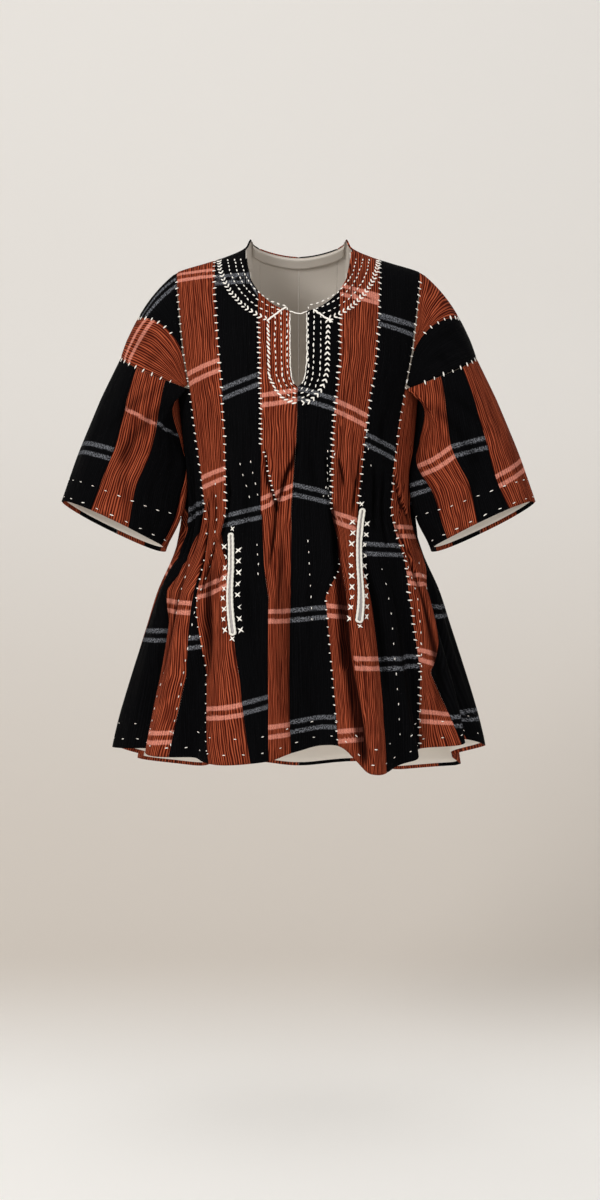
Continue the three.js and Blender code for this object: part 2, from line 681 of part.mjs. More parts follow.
const smock = new THREE.Group();
smock.name = 'smock_top';
addBody(smock);
addSleeve(smock, -1);
addSleeve(smock, 1);
addHemFacing(smock);
addNeckFacing(smock);
addPocketCords(smock);

export default smock;
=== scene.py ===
import bpy
import numpy as np
from math import radians
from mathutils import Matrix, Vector


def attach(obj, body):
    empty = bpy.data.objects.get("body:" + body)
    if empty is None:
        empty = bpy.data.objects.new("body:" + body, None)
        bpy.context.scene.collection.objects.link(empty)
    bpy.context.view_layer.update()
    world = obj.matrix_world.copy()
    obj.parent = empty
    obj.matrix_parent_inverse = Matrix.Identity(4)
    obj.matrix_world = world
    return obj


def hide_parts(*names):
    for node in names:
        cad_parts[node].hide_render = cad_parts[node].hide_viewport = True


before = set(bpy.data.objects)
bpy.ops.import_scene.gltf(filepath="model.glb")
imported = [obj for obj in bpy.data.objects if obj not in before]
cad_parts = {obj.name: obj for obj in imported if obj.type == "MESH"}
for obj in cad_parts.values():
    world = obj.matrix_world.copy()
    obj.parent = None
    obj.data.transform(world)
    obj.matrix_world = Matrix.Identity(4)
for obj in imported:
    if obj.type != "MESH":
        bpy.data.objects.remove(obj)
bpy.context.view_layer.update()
scene = bpy.context.scene
mm = 0.001
deg = np.pi / 180

# camera, far back and a little above the garment
cameraLook = {"lens": 83.7, "place": (0.0016, -3.05, 0.055), "tilt": 81.84}
lens = bpy.data.cameras.new("camera")
lens.lens = cameraLook["lens"]
lens.sensor_fit = "VERTICAL"
lens.sensor_height = 36
camera = bpy.data.objects.new("camera", lens)
camera.location = cameraLook["place"]
camera.rotation_euler = (radians(cameraLook["tilt"]), 0, 0)
scene.collection.objects.link(camera)
scene.camera = camera
scene.view_settings.view_transform = "Standard"
print("camera set")


# ---- form of the garment, mm ----
bodyPower = 2.2   # squareness of every level's outline
form = {          # half width and the depths in front and behind, at each level
    "z": [30, -27, -62, -100, -150, -200, -250, -290, -330, -370, -410, -460, -500, -540, -600],
    "half": [150, 150, 146, 141, 134, 129, 126, 126, 137, 154, 165, 178, 188, 197, 208],
    "front": [54, 72, 84, 94, 99, 97, 92, 89, 97, 108, 117, 128, 136, 143, 150],
    "back": [48, 64, 76, 88, 94, 92, 86, 82, 88, 98, 107, 118, 126, 133, 141],
}
shoulder = {"x": [0, 52, 57, 78, 100, 132, 150], "z": [13, 13, 4, -6, -13, -23, -34]}
neck = {"half": 57, "drop": 62, "halfBack": 52, "dropBack": 20}
slit = {"half": 6.8, "end": -140, "round": 6}
crown = {"front": 95, "back": 55}
armpit = -146
wall = 2
bodyPerDegree = 2.6   # mm to a degree round the body, for creases

hem = {
    "turn": [-90, -60, -20, -8, -2, 8, 13, 19, 38, 48, 58, 66, 78, 90, 105, 128, 180, 225, 250, 270],
    "z": [-546, -537, -538, -536, -530, -523, -524, -547, -541, -534, -529, -525, -533, -546, -561, -588,
          -593, -585, -566, -546],
}
folds = [   # skirt folds: turn, spread in degrees, how far out at the hem, height where it starts
    (-86, 8, 9, -330), (-66, 7, -18, -290), (-48, 7, 11, -290), (-35, 5, -12, -270),
    (-21, 8, 16, -280), (5, 9, -28, -250), (20, 6, 20, -280), (33, 6, -8, -300),
    (48, 6, -26, -270), (60, 5, 12, -310), (71, 6, -20, -290), (88, 8, 10, -330),
    (108, 8, -18, -280), (126, 8, 15, -300), (145, 8, -21, -270), (163, 8, 16, -300),
    (180, 7, -17, -260), (198, 8, 17, -290), (216, 8, -22, -270), (234, 8, 14, -310),
    (252, 8, -16, -280),
]

levels = [20, -110, -195, -272, -300, -330, -365, -450, -545, -600]
seams = {   # degrees round the body at those levels
    "leftSide": [-90, -90, -90, -82, -71, -76, -86, -88, -88, -86],
    "goreOne": [-60, -61, -58, -53, -57.5, -63, -72, -60, -60, -59],
    "goreTwo": [-60, -61, -58, -53, -50, -48, -45.6, -41, -42.3, -42],
    "one": [-60, -61, -58, -53, -50, -46.2, -43.7, -34.3, -24.8, -23.5],
    "two": [-35, -35.1, -35.7, -36.8, -39.6, -32.5, -25.4, -17.6, -12.3, -11.3],
    "three": [-14.5, -15.3, -16, -16.8, -15.4, -13.6, -10.3, -8.9, -7.7, -7.5],
    "middle": [0, 0, -0.6, -2.6, -2.7, -2.5, -2.2, -2.1, -1.6, -1.5],
    "four": [14.5, 16.2, 14.2, 14.3, 17.1, 16.5, 9.6, 11, 11.7, 11.7],
    "goreThree": [14.5, 16.2, 14.2, 14.3, 17.1, 17.5, 17.5, 17.1, 16.9, 16.8],
    "five": [33, 34.5, 31.5, 28.6, 28.1, 27.8, 29, 28.2, 25.3, 25],
    "six": [60.5, 59.3, 54.1, 51.5, 54.2, 56.3, 51.9, 52, 48.2, 48],
    "seven": [77, 79, 82, 82, 83, 85, 71.7, 54.4, 59.5, 59],
    "goreFour": [86, 86, 87, 88, 88, 89, 82, 66, 65, 64.5],
    "goreFive": [86, 86, 87, 88, 88, 89, 82, 66, 79, 80],
    "rightSide": [95, 95, 95, 95, 95, 95, 94, 90, 88, 87],
    "backOne": [119.5, 119, 119, 118, 118, 118, 119, 120, 121, 121],
    "backTwo": [147, 146, 145, 144, 143, 142, 140.5, 136.5, 133, 132],
    "goreSix": [147, 146, 145, 144, 145, 146, 148, 150.5, 152, 152],
    "backThree": [165.5, 165, 165, 165, 165, 165, 165.5, 166, 166, 166],
    "backMiddle": [180, 180, 180, 180, 180, 180, 180, 180, 180, 180],
    "backFour": [194.5, 195, 195, 195, 195, 195, 194.5, 194, 194, 194],
    "goreSeven": [213, 214, 215, 215.5, 214.8, 214, 212, 209.5, 208, 208],
    "backFive": [213, 214, 215, 215.5, 216.8, 218, 220, 221.8, 223, 223],
    "backSix": [240, 241, 241, 242, 242, 242, 241, 240, 239, 239],
    "backSide": [270, 270, 270, 278, 289, 284, 274, 272, 272, 274],
}

# creases laid into the cloth: turn and height at both ends, half width, depth (ridges above
# zero), and how far the middle bows to one side
bodyCreases = [
    # shoulders and chest, small and soft
    (-48, -40, -40, -100, 7, -1.2, 3), (-52, -120, -34, -205, 8, -1.3, -4),
    (-22, -170, -30, -260, 6, -1.4, 3), (47, -140, 38, -215, 7, -1.6, 3),
    (40, -175, 52, -235, 6, -1.4, -3), (24, -130, 21, -260, 5, 1.0, 2),
    # pleats drawn in above the waist
    (-14.3, -205, -13.2, -250, 2.2, -5.0, 0), (-13.2, -240, -8.6, -276, 2.2, -6.5, 1),
    (0.2, -200, -3.2, -232, 2.2, -5.0, 0), (-2.6, -220, -8.4, -268, 2.2, -6.5, -1),
    (-9.4, -262, -11.6, -335, 2.0, -5.0, 1), (-8.6, -215, -8.6, -262, 3.6, 2.4, 0),
    (-6.5, -290, -7.5, -400, 2.6, -2.6, 1), (11, -212, 13, -268, 2.4, -4.0, 2),
    (4, -190, 8.5, -262, 5, -2.2, -3), (17.1, -215, 21, -250, 2.2, -4.6, 1),
    (28.7, -214, 27, -250, 2.0, -4.2, 1), (27.3, -240, 25, -280, 2.2, -4.6, 1),
    (23.5, -225, 22, -268, 3.0, 1.8, 1), (-34.6, -228, -34, -262, 2.4, -3.6, 0),
    (-34.1, -252, -39.8, -312, 2.4, -6.0, 1), (-45, -255, -43.5, -300, 2.0, -3.6, 1),
    (-49.3, -262, -48.8, -310, 2.2, -4.6, -1), (-49, -300, -45.6, -350, 2.2, -6.0, -1),
    (-42.5, -304, -42.4, -336, 2.0, -4.6, 1), (-42.4, -328, -41.4, -366, 2.0, -4.6, -1),
    (-38.6, -306, -33, -330, 1.8, -4.0, 1), (-36, -322, -35, -362, 2.0, -3.0, 1),
    (-46.2, -282, -45.5, -312, 2.6, 2.0, 1), (-24, -235, -26, -310, 5, -2.4, 2),
    (-57, -255, -58, -330, 3, -5.0, 2), (-64, -215, -63, -335, 3.6, -5.4, -2),
    (-70, -210, -69, -330, 4, -5.4, 3), (-78, -230, -76, -345, 5, -4.6, 2),
    (38, -225, 38, -300, 4, -4.0, 2), (45, -232, 46, -322, 3.6, -4.0, -2),
    (52.4, -235, 60, -272, 2.2, -6.0, 1), (58, -262, 72, -290, 2.4, -7.0, 1),
    (64, -250, 59, -288, 2.0, -4.6, 1), (54.4, -284, 61, -330, 2.2, -5.0, 1),
    (57.5, -285, 66, -325, 2.4, 2.4, 1), (61, -318, 60.4, -350, 2.2, -4.0, 0),
    (72, -205, 74, -320, 4, -4.4, 2), (80, -215, 80, -330, 6, -4.0, 3),
    # skirt, between the large folds
    (-61, -330, -55, -470, 6, -5.0, 3), (-50, -350, -46, -480, 6, 2.4, -2),
    (-41, -330, -33, -455, 5, -4.6, 2), (-29, -340, -18, -470, 7, 2.0, -3),
    (-23, -320, -14, -420, 6, -2.2, 2), (-5.5, -300, -5, -500, 4, -2.2, 1),
    (-2.6, -330, -2.2, -528, 3.5, -2.6, 0.6), (2, -310, 2.5, -520, 6, 1.6, -1),
    (14.5, -262, 16.6, -322, 3.4, -7.0, 0.5), (15.8, -300, 14.4, -440, 4, -11.0, 0.5),
    (14.6, -410, 17.4, -540, 3.4, -8.0, 0.5), (19.5, -330, 19.5, -470, 4, 2.6, 1),
    (23, -320, 22, -500, 5, 2.4, 1), (29, -300, 31, -470, 5, -4.6, 2),
    (37, -330, 35, -500, 6, 2.2, -2), (42, -340, 41, -520, 5, -3.2, 1),
    (52, -330, 49, -500, 5, 2.0, 2), (60, -330, 55, -500, 4.5, -4.6, 1),
    (66, -330, 60, -520, 6, 2.2, 2), (76, -340, 68, -500, 6, -2.6, 2),
    (84, -330, 84, -500, 7, -2.4, -2), (-68, -330, -68, -520, 6, -2.8, 2),
    (-76, -330, -74, -520, 6, 2.4, 2), (-84, -330, -84, -500, 7, -2.0, 2),
    # sides and back
    (98, -200, 100, -320, 6, -2.6, 2), (108, -190, 104, -330, 7, -2.4, -3),
    (118, -240, 121, -420, 6, -2.6, 3), (131, -220, 128, -330, 6, -2.8, -2),
    (139, -215, 141, -300, 5, -2.2, 2), (150, -225, 149, -420, 6, -2.4, 2),
    (158, -210, 161, -320, 5, -2.8, -2), (171, -200, 172, -300, 6, -2.2, 2),
    (176, -260, 174, -470, 6, 2.2, 3), (187, -205, 185, -330, 5, -2.6, 2),
    (197, -240, 199, -450, 6, -2.2, -3), (205, -210, 203, -310, 6, -2.4, 2),
    (220, -220, 223, -340, 6, -2.8, 2), (229, -230, 227, -430, 6, 2.0, -2),
    (240, -210, 243, -320, 6, -2.4, 3), (251, -220, 250, -360, 6, -2.6, 2),
    (262, -200, 262, -330, 6, -2.8, -3), (113, -350, 116, -540, 7, -2.4, 3),
    (136, -360, 138, -560, 7, 2.2, -3), (157, -350, 156, -560, 7, -2.4, 3),
    (190, -370, 191, -570, 7, 2.0, 3), (209, -350, 207, -560, 7, -2.4, -2),
    (238, -370, 240, -550, 7, 2.2, 3), (259, -360, 262, -540, 7, -2.4, 2),
    (-88, -148, -87, -250, 9, 1.6, 0), (92, -148, 92, -250, 9, 1.6, 0),
    (-86, -215, -80, -325, 9, 4.0, 0), (88, -215, 86, -310, 9, 3.4, 0),
    (140, -60, 150, -180, 9, -1.4, 4), (205, -50, 196, -170, 9, -1.3, -4),
    (232, -110, 222, -200, 8, -1.6, 3), (168, -90, 172, -210, 9, -1.2, 3),
]


def smooth(keys, values, at):
    keys, values = np.array(keys, float), np.array(values, float)
    if keys[-1] < keys[0]:
        keys, values = keys[::-1], values[::-1]
    at = np.clip(at, keys[0], keys[-1])
    k = np.clip(np.searchsorted(keys, at, side="right") - 1, 0, len(keys) - 2)
    low, high = np.maximum(k - 1, 0), np.minimum(k + 2, len(keys) - 1)
    span = keys[k + 1] - keys[k]
    s = (at - keys[k]) / span
    before = (values[k + 1] - values[low]) / (keys[k + 1] - keys[low]) * span
    after = (values[high] - values[k]) / (keys[high] - keys[k]) * span
    return (values[k] * (2 * s**3 - 3 * s**2 + 1) + before * (s**3 - 2 * s**2 + s)
            + values[k + 1] * (3 * s**2 - 2 * s**3) + after * (s**3 - s**2))


def seamTurn(name, z):
    return np.interp(-np.asarray(z, float), -np.array(levels, float), seams[name])


def signedPower(value, power):
    return np.sign(value) * np.abs(value) ** power


def smoothStep(value):
    s = np.clip(value, 0, 1)
    return s * s * (3 - 2 * s)


def unit(v):
    return v / np.maximum(np.linalg.norm(v, axis=-1, keepdims=True), 1e-9)


def steps(points, axis=0):
    # distances from each point to the next
    return np.linalg.norm(np.diff(points, axis=axis), axis=-1)


def runOf(points, axis=0):
    # distance covered at each point, from the first one
    step = steps(points, axis)
    return np.concatenate([0 * step.take([0], axis), np.cumsum(step, axis=axis)], axis=axis)


def shoulderZ(x):
    return smooth(shoulder["x"], shoulder["z"], np.minimum(150, np.abs(x)))


def hemZ(turn):
    return smooth(hem["turn"], hem["z"], (turn + 810) % 360 - 90)


def foldOut(turn, z):
    out = 0
    bottom = hemZ(turn)
    for middle, spread, reach, start in folds:
        away = (turn - middle + 900) % 360 - 180
        out = out + reach * np.exp(-((away / spread) ** 2)) * smoothStep((start - z) / (start - bottom))
    return out


def bodyPoint(turn, z):
    s, c = np.sin(turn * deg), np.cos(turn * deg)
    x = smooth(form["z"], form["half"], z) * signedPower(s, 2 / bodyPower)
    depth = np.where(c >= 0, smooth(form["z"], form["front"], z), smooth(form["z"], form["back"], z))
    below = np.clip((shoulderZ(x) - z) / np.where(c >= 0, crown["front"], crown["back"]), 0, 1)
    out = foldOut(turn, z)
    y = -depth * signedPower(c, 2 / bodyPower) * np.sqrt(1 - (1 - below) ** 2)
    return np.stack([x + out * s, y - out * c, z + 0 * x], axis=-1)


def facing(alongU, alongV, outward):
    normal = unit(np.cross(alongU, alongV))
    turned = np.sum(normal * outward, axis=-1, keepdims=True) < 0
    return np.where(turned, -normal, normal)


def bodyNormal(turn, z):
    level = np.minimum(z, shoulderZ(bodyPoint(turn, z)[..., 0]) - 1.2)
    alongU = bodyPoint(turn + 0.4, level) - bodyPoint(turn - 0.4, level)
    alongV = bodyPoint(turn, level + 1) - bodyPoint(turn, level - 1)
    outward = np.stack([np.sin(turn * deg), -np.cos(turn * deg), 0.4 + 0 * turn], axis=-1)
    return facing(alongU, alongV, outward)


def creaseLift(creases, u, v, perDegree):
    lift = np.zeros(np.broadcast(u, v).shape)
    for u0, v0, u1, v1, wide, deep, bow in creases:
        du = ((u - u0 + 540) % 360 - 180) * perDegree
        dv = v - v0
        segU, segV = (u1 - u0) * perDegree, v1 - v0
        length = np.hypot(segU, segV)
        s = np.clip((du * segU + dv * segV) / length**2, 0, 1)
        bend = bow * 4 * s * (1 - s) / length
        away = np.hypot(du - s * segU + segV * bend, dv - s * segV - segU * bend)
        lift += deep * np.exp(-((away / wide) ** 2)) * (4 * s * (1 - s)) ** 0.55
    return lift


def bodyShade(turn, z):
    # how deep each point lies in a crease, or stands on a ridge, in mm
    return creaseLift(bodyCreases, turn, z, bodyPerDegree)


def bodySkin(turn, z):
    # creased surface of the body and its outward direction
    normal = bodyNormal(turn, z)
    return bodyPoint(turn, z) + normal * bodyShade(turn, z)[..., None], normal


def topZ(turn):
    x = np.abs(bodyPoint(turn, np.full_like(turn, -30.0))[..., 0])
    line = shoulderZ(x)
    dropFront = np.sqrt(np.clip(1 - (x / neck["half"]) ** 2, 0, 1))
    dropBack = np.sqrt(np.clip(1 - (x / neck["halfBack"]) ** 2, 0, 1))
    front = np.where(x >= neck["half"], line, np.minimum(line, -neck["drop"] * dropFront))
    back = np.where(x >= neck["halfBack"], line, line - neck["dropBack"] * dropBack)
    return np.where(np.cos(turn * deg) >= 0, front, back), line


def edgeTurn(name, z, towards):
    opening = 0.0
    if name == "middle":
        share = np.clip((z - slit["end"]) / (-neck["drop"] - slit["end"]), 0, 1)
        opening = np.sqrt(1 - (1 - share) ** slit["round"])
    clear = 0.03 + slit["half"] * opening
    return seamTurn(name, z) + towards * clear / smooth(form["z"], form["half"], z) / deg


# ---- materials ----
def paint(red, green, blue):
    # colour as on a screen, 0 to 255
    c = np.array([red, green, blue]) / 255
    c = np.where(c <= 0.04045, c / 12.92, ((c + 0.055) / 1.055) ** 2.4)
    return (*[float(v) for v in c], 1)


def node(tree, kind, **values):
    made = tree.nodes.new(kind)
    for key, value in values.items():
        setattr(made, key, value)
    return made


def feed(tree, made, values):
    # sets or links each input, and hands back the outputs
    for name, value in values.items():
        if isinstance(value, bpy.types.NodeSocket):
            tree.links.new(value, made.inputs[name])
        else:
            made.inputs[name].default_value = value
    return made.outputs


def maths(tree, operation, a, b=0.0):
    return feed(tree, node(tree, "ShaderNodeMath", operation=operation), {0: a, 1: b})[0]


def times(tree, a, b):
    return maths(tree, "MULTIPLY", a, b)


def plus(tree, a, b):
    return maths(tree, "ADD", a, b)


def minus(tree, a, b):
    return maths(tree, "SUBTRACT", a, b)


def ranged(tree, value, low, high, floor=0.0):
    made = node(tree, "ShaderNodeMapRange", interpolation_type="SMOOTHSTEP")
    return feed(tree, made, {"Value": value, "From Min": low, "From Max": high, "To Min": floor})[0]


def clothNoise(tree, cloth, across, along, detail):
    # noise with its own scale across and along the strip
    stretch = node(tree, "ShaderNodeVectorMath", operation="MULTIPLY")
    place = feed(tree, stretch, {0: cloth, 1: (across, along, 0)})[0]
    made = node(tree, "ShaderNodeTexNoise")
    return feed(tree, made, {"Vector": place, "Scale": 1.0, "Detail": detail})["Fac"]


def mix(tree, factor, a, b, blend="MIX"):
    made = node(tree, "ShaderNodeMix", data_type="RGBA", blend_type=blend)
    return feed(tree, made, {0: factor, 6: a, 7: b})[2]


def newGroup(name, inputs, outputs):
    tree = bpy.data.node_groups.new(name, "ShaderNodeTree")
    for way, sockets in (("INPUT", inputs), ("OUTPUT", outputs)):
        for label, kind in sockets.items():
            tree.interface.new_socket(label, in_out=way, socket_type="NodeSocket" + kind)
    return tree, tree.nodes.new("NodeGroupInput").outputs, tree.nodes.new("NodeGroupOutput")


def makeLineGroup():
    # lengthwise coloured threads that sway together, with dark grooves between them
    tree, given, result = newGroup("warpLines", {"Cloth": "Vector", "Gap": "Float", "Waver": "Float"},
                                   {"Line": "Float", "Groove": "Float", "Height": "Float"})
    cloth = given["Cloth"]
    place = feed(tree, node(tree, "ShaderNodeSeparateXYZ"), {0: cloth})
    sway = times(tree, minus(tree, clothNoise(tree, cloth, 0.02, 0.018, 2.0), 0.5), given["Waver"])
    own = minus(tree, clothNoise(tree, cloth, 0.3, 0.02, 1.0), 0.5)
    own = times(tree, own, times(tree, given["Gap"], 1.3))
    across = plus(tree, plus(tree, place[0], sway), own)
    wave = maths(tree, "SINE", times(tree, maths(tree, "DIVIDE", across, given["Gap"]), 6.2832))
    wave = plus(tree, times(tree, wave, 0.5), 0.5)
    patchy = clothNoise(tree, cloth, 0.8, 0.012, 2.0)
    line = times(tree, ranged(tree, wave, 0.42, 0.9), ranged(tree, patchy, 0.34, 0.62, 0.3))
    groove = times(tree, ranged(tree, wave, 0.42, 0.05), ranged(tree, patchy, 0.62, 0.38, 0.3))
    weft = maths(tree, "SINE", times(tree, place[1], 5.2))
    height = plus(tree, wave, times(tree, weft, 0.25))
    feed(tree, result, {"Line": line, "Groove": groove, "Height": height})
    return tree


def makeBarGroup():
    # pairs of weft bars, mottled where the warp hides them
    tree, given, result = newGroup("weftBars", {"Cloth": "Vector", "Offset": "Float", "Half width": "Float",
                                                "Mottle": "Float"}, {"Bar": "Float"})
    cloth = given["Cloth"]
    place = feed(tree, node(tree, "ShaderNodeSeparateXYZ"), {0: cloth})
    ragged = times(tree, minus(tree, clothNoise(tree, cloth, 0.5, 0.25, 2.0), 0.5), 1.6)
    away = plus(tree, maths(tree, "ABSOLUTE", minus(tree, place[2], given["Offset"])), ragged)
    inside = ranged(tree, minus(tree, given["Half width"], away), -0.6, 0.8)
    speck = ranged(tree, clothNoise(tree, cloth, 0.75, 0.75, 3.0), 0.4, 0.6)
    speck = plus(tree, times(tree, minus(tree, speck, 1.0), given["Mottle"]), 1.0)
    feed(tree, result, {"Bar": times(tree, inside, speck)})
    return tree


def makeWrinkleGroup():
    # soft crumples, longer down the strip than across it
    tree, given, result = newGroup("softWrinkles", {"Cloth": "Vector"}, {"Height": "Float"})
    large = clothNoise(tree, given["Cloth"], 0.045, 0.022, 1.0)
    small = clothNoise(tree, given["Cloth"], 0.12, 0.07, 2.0)
    feed(tree, result, {"Height": plus(tree, large, times(tree, small, 0.3))})
    return tree


lineGroup = makeLineGroup()
barGroup = makeBarGroup()
wrinkleGroup = makeWrinkleGroup()


def newMaterial(name, colour, roughness):
    made = bpy.data.materials.new(name)
    made.use_nodes = True
    made.diffuse_color = colour
    shader = made.node_tree.nodes["Principled BSDF"]
    feed(made.node_tree, shader, {"Base Color": colour, "Roughness": roughness, "Specular IOR Level": 0.04})
    return made, made.node_tree, shader


def grouped(tree, group, values):
    return feed(tree, node(tree, "ShaderNodeGroup", node_tree=group), values)


def stripMaterial(name, look):
    made, tree, shader = newMaterial(name, look["line"], look["roughness"])
    cloth = node(tree, "ShaderNodeAttribute", attribute_name="cloth").outputs["Vector"]
    creaseShadeDepth = node(tree, "ShaderNodeAttribute", attribute_name="creaseShadeDepth").outputs["Fac"]
    lines = grouped(tree, lineGroup, {"Cloth": cloth, "Gap": look["gap"], "Waver": look["waver"]})
    bars = grouped(tree, barGroup, {"Cloth": cloth, "Offset": look["barOffset"], "Half width": look["barHalf"],
                                    "Mottle": look["mottle"]})
    wrinkles = grouped(tree, wrinkleGroup, {"Cloth": cloth})
    bar = times(tree, bars["Bar"], ranged(tree, lines["Groove"], 1.0, 0.0, look["barInGroove"]))
    colour = mix(tree, lines["Line"], look["ground"], look["line"])
    colour = mix(tree, lines["Groove"], colour, look["groove"])
    colour = mix(tree, bar, colour, look["bar"])
    # painted shade: the colour is multiplied towards a dark tint the deeper the point lies in a crease trough,
    # fully at the given depth
    dark = mix(tree, 1.0, colour, look["creaseShadeTint"], "MULTIPLY")
    colour = mix(tree, ranged(tree, creaseShadeDepth, 0.0, look["creaseShadeFullAt"]), colour, dark)
    crumple = feed(tree, node(tree, "ShaderNodeBump"), {"Strength": look["crumple"], "Distance": 0.006,
                                                        "Height": wrinkles["Height"]})
    relief = feed(tree, node(tree, "ShaderNodeBump"), {"Strength": look["relief"], "Distance": 0.0005,
                                                       "Height": lines["Height"], "Normal": crumple[0]})
    feed(tree, shader, {"Base Color": colour, "Normal": relief[0]})
    return made


# each look also holds the tint multiplied in as painted shade in crease troughs, and the trough depth in mm
# where that painted shade is full
rustLook = {"ground": paint(87, 30, 16), "line": paint(176, 86, 56), "groove": paint(46, 12, 7),
            "bar": paint(222, 142, 122), "barInGroove": 0.45, "barOffset": 5.3, "barHalf": 2.5, "mottle": 0.4,
            "creaseShadeTint": (0.12, 0.1, 0.1, 1), "creaseShadeFullAt": -4.5,
            "gap": 2.4, "waver": 6.0, "relief": 0.5, "crumple": 0.6, "roughness": 0.95}
blackLook = {"ground": paint(5, 5, 6), "line": paint(10, 10, 12), "groove": paint(3, 3, 4),
             "bar": paint(118, 120, 126), "barInGroove": 0.45, "barOffset": 5.3, "barHalf": 2.4, "mottle": 1.0,
             "creaseShadeTint": (0.2, 0.2, 0.2, 1), "creaseShadeFullAt": -4.5,
             "gap": 2.0, "waver": 4.0, "relief": 0.2, "crumple": 0.8, "roughness": 0.95}
cloths = {"rust": stripMaterial("rustStrip", rustLook), "black": stripMaterial("blackStrip", blackLook)}
cream = newMaterial("creamLining", paint(224, 216, 206), 0.95)[0]
thread = newMaterial("creamThread", paint(250, 245, 236), 0.7)[0]
cordWhite = newMaterial("whiteCord", paint(232, 228, 218), 0.75)[0]
liningWhite = newMaterial("pocketLining", paint(172, 166, 166), 0.9)[0]
print("materials made")


# ---- meshes ----
def addMesh(name, points, faces, materials, faceSlots=None, cloth=None, creaseShadeDepth=None):
    mesh = bpy.data.meshes.new(name)
    mesh.from_pydata((np.asarray(points) * mm).tolist(), [], [tuple(f) for f in faces])
    for material in materials:
        mesh.materials.append(material)
    if faceSlots is not None:
        mesh.polygons.foreach_set("material_index", np.asarray(faceSlots, np.int32))
    if cloth is not None:
        layer = mesh.attributes.new("cloth", "FLOAT_VECTOR", "POINT")
        layer.data.foreach_set("vector", np.asarray(cloth, np.float32).ravel())
    # crease depth on each point, which the strip material reads to paint shade into the troughs
    if creaseShadeDepth is not None:
        layer = mesh.attributes.new("creaseShadeDepth", "FLOAT", "POINT")
        layer.data.foreach_set("value", np.asarray(creaseShadeDepth, np.float32).ravel())
    mesh.polygons.foreach_set("use_smooth", np.ones(len(mesh.polygons), bool))
    mesh.update()
    obj = bpy.data.objects.new(name, mesh)
    scene.collection.objects.link(obj)
    return obj


def shell(name, outer, inner, materials, cloth=None, turnUp=0, ring=False, creaseShadeDepth=None):
    # closed wall between two grids of points; its last rows inside are the turned up edge
    rows, columns = outer.shape[:2]
    spans = columns if ring else columns - 1
    layer = rows * columns
    i, j = np.meshgrid(np.arange(rows - 1), np.arange(spans), indexing="ij")
    i, j = i.ravel(), j.ravel()
    k = (j + 1) % columns
    a, b, c, d = i * columns + j, (i + 1) * columns + j, (i + 1) * columns + k, i * columns + k
    outside = np.stack([a, b, c, d], 1)
    inside = np.stack([a, d, c, b], 1) + layer
    j, k = np.arange(spans), (np.arange(spans) + 1) % columns
    last = (rows - 1) * columns
    rims = [np.stack([j, k, k + layer, j + layer], 1),
            np.stack([last + k, last + j, last + j + layer, last + k + layer], 1)]
    if not ring:
        r = np.arange(rows - 1) * columns
        s, e = r + columns, columns - 1
        rims += [np.stack([r, r + layer, s + layer, s], 1),
                 np.stack([r + e, s + e, s + e + layer, r + e + layer], 1)]
    faces = np.concatenate([outside, inside] + rims)
    faceSlots = np.zeros(len(faces), int)
    if len(materials) > 1:
        faceSlots[len(outside):2 * len(outside)] = np.where(i >= rows - 1 - turnUp, 0, 1)
    points = np.concatenate([outer.reshape(-1, 3), inner.reshape(-1, 3)])
    both = None if cloth is None else np.concatenate([cloth.reshape(-1, 3)] * 2)
    # the inside of the wall gets no painted crease shade
    creases = None if creaseShadeDepth is None else np.concatenate([creaseShadeDepth.ravel(), 0 * creaseShadeDepth.ravel()])
    return addMesh(name, points, faces.tolist(), materials, faceSlots, both, creases)


def triangleArea(a, b, c):
    return np.linalg.norm(np.cross(a - b, c - b), axis=-1)


def sizes(outer):
    across, along = steps(outer, 1).sum(axis=1), steps(outer).sum(axis=0)
    first, second = outer[:-1, :-1], outer[1:, 1:]
    area = 0.5 * (triangleArea(outer[1:, :-1], first, outer[:-1, 1:])
                  + triangleArea(outer[:-1, 1:], second, outer[1:, :-1])).sum()
    return across.max(), along.max(), area


def finishPiece(obj, outer, replaced):
    width, length, area = sizes(outer)
    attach(obj, "root")
    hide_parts(*replaced)
    width, length = 1.002 * width * mm, 1.002 * length * mm
    area = max(area * mm * mm, 0.3001 * width * length)
    print(f"{obj.name}: flat {width * 1000:.0f} x {length * 1000:.0f} mm")


# ---- body strips ----
noBar = 80.0   # mm from the nearest bar, where there is none
stripLook = {"crownRows": 22, "crownEnd": -90, "lowest": -540, "rowGap": 4.2, "seamDip": 0.8, "seamWide": 1.6,
             "turnUp": 3}
stripShares = np.concatenate([[0, 0.018], np.linspace(0.045, 0.955, 24), [0.982, 1]])
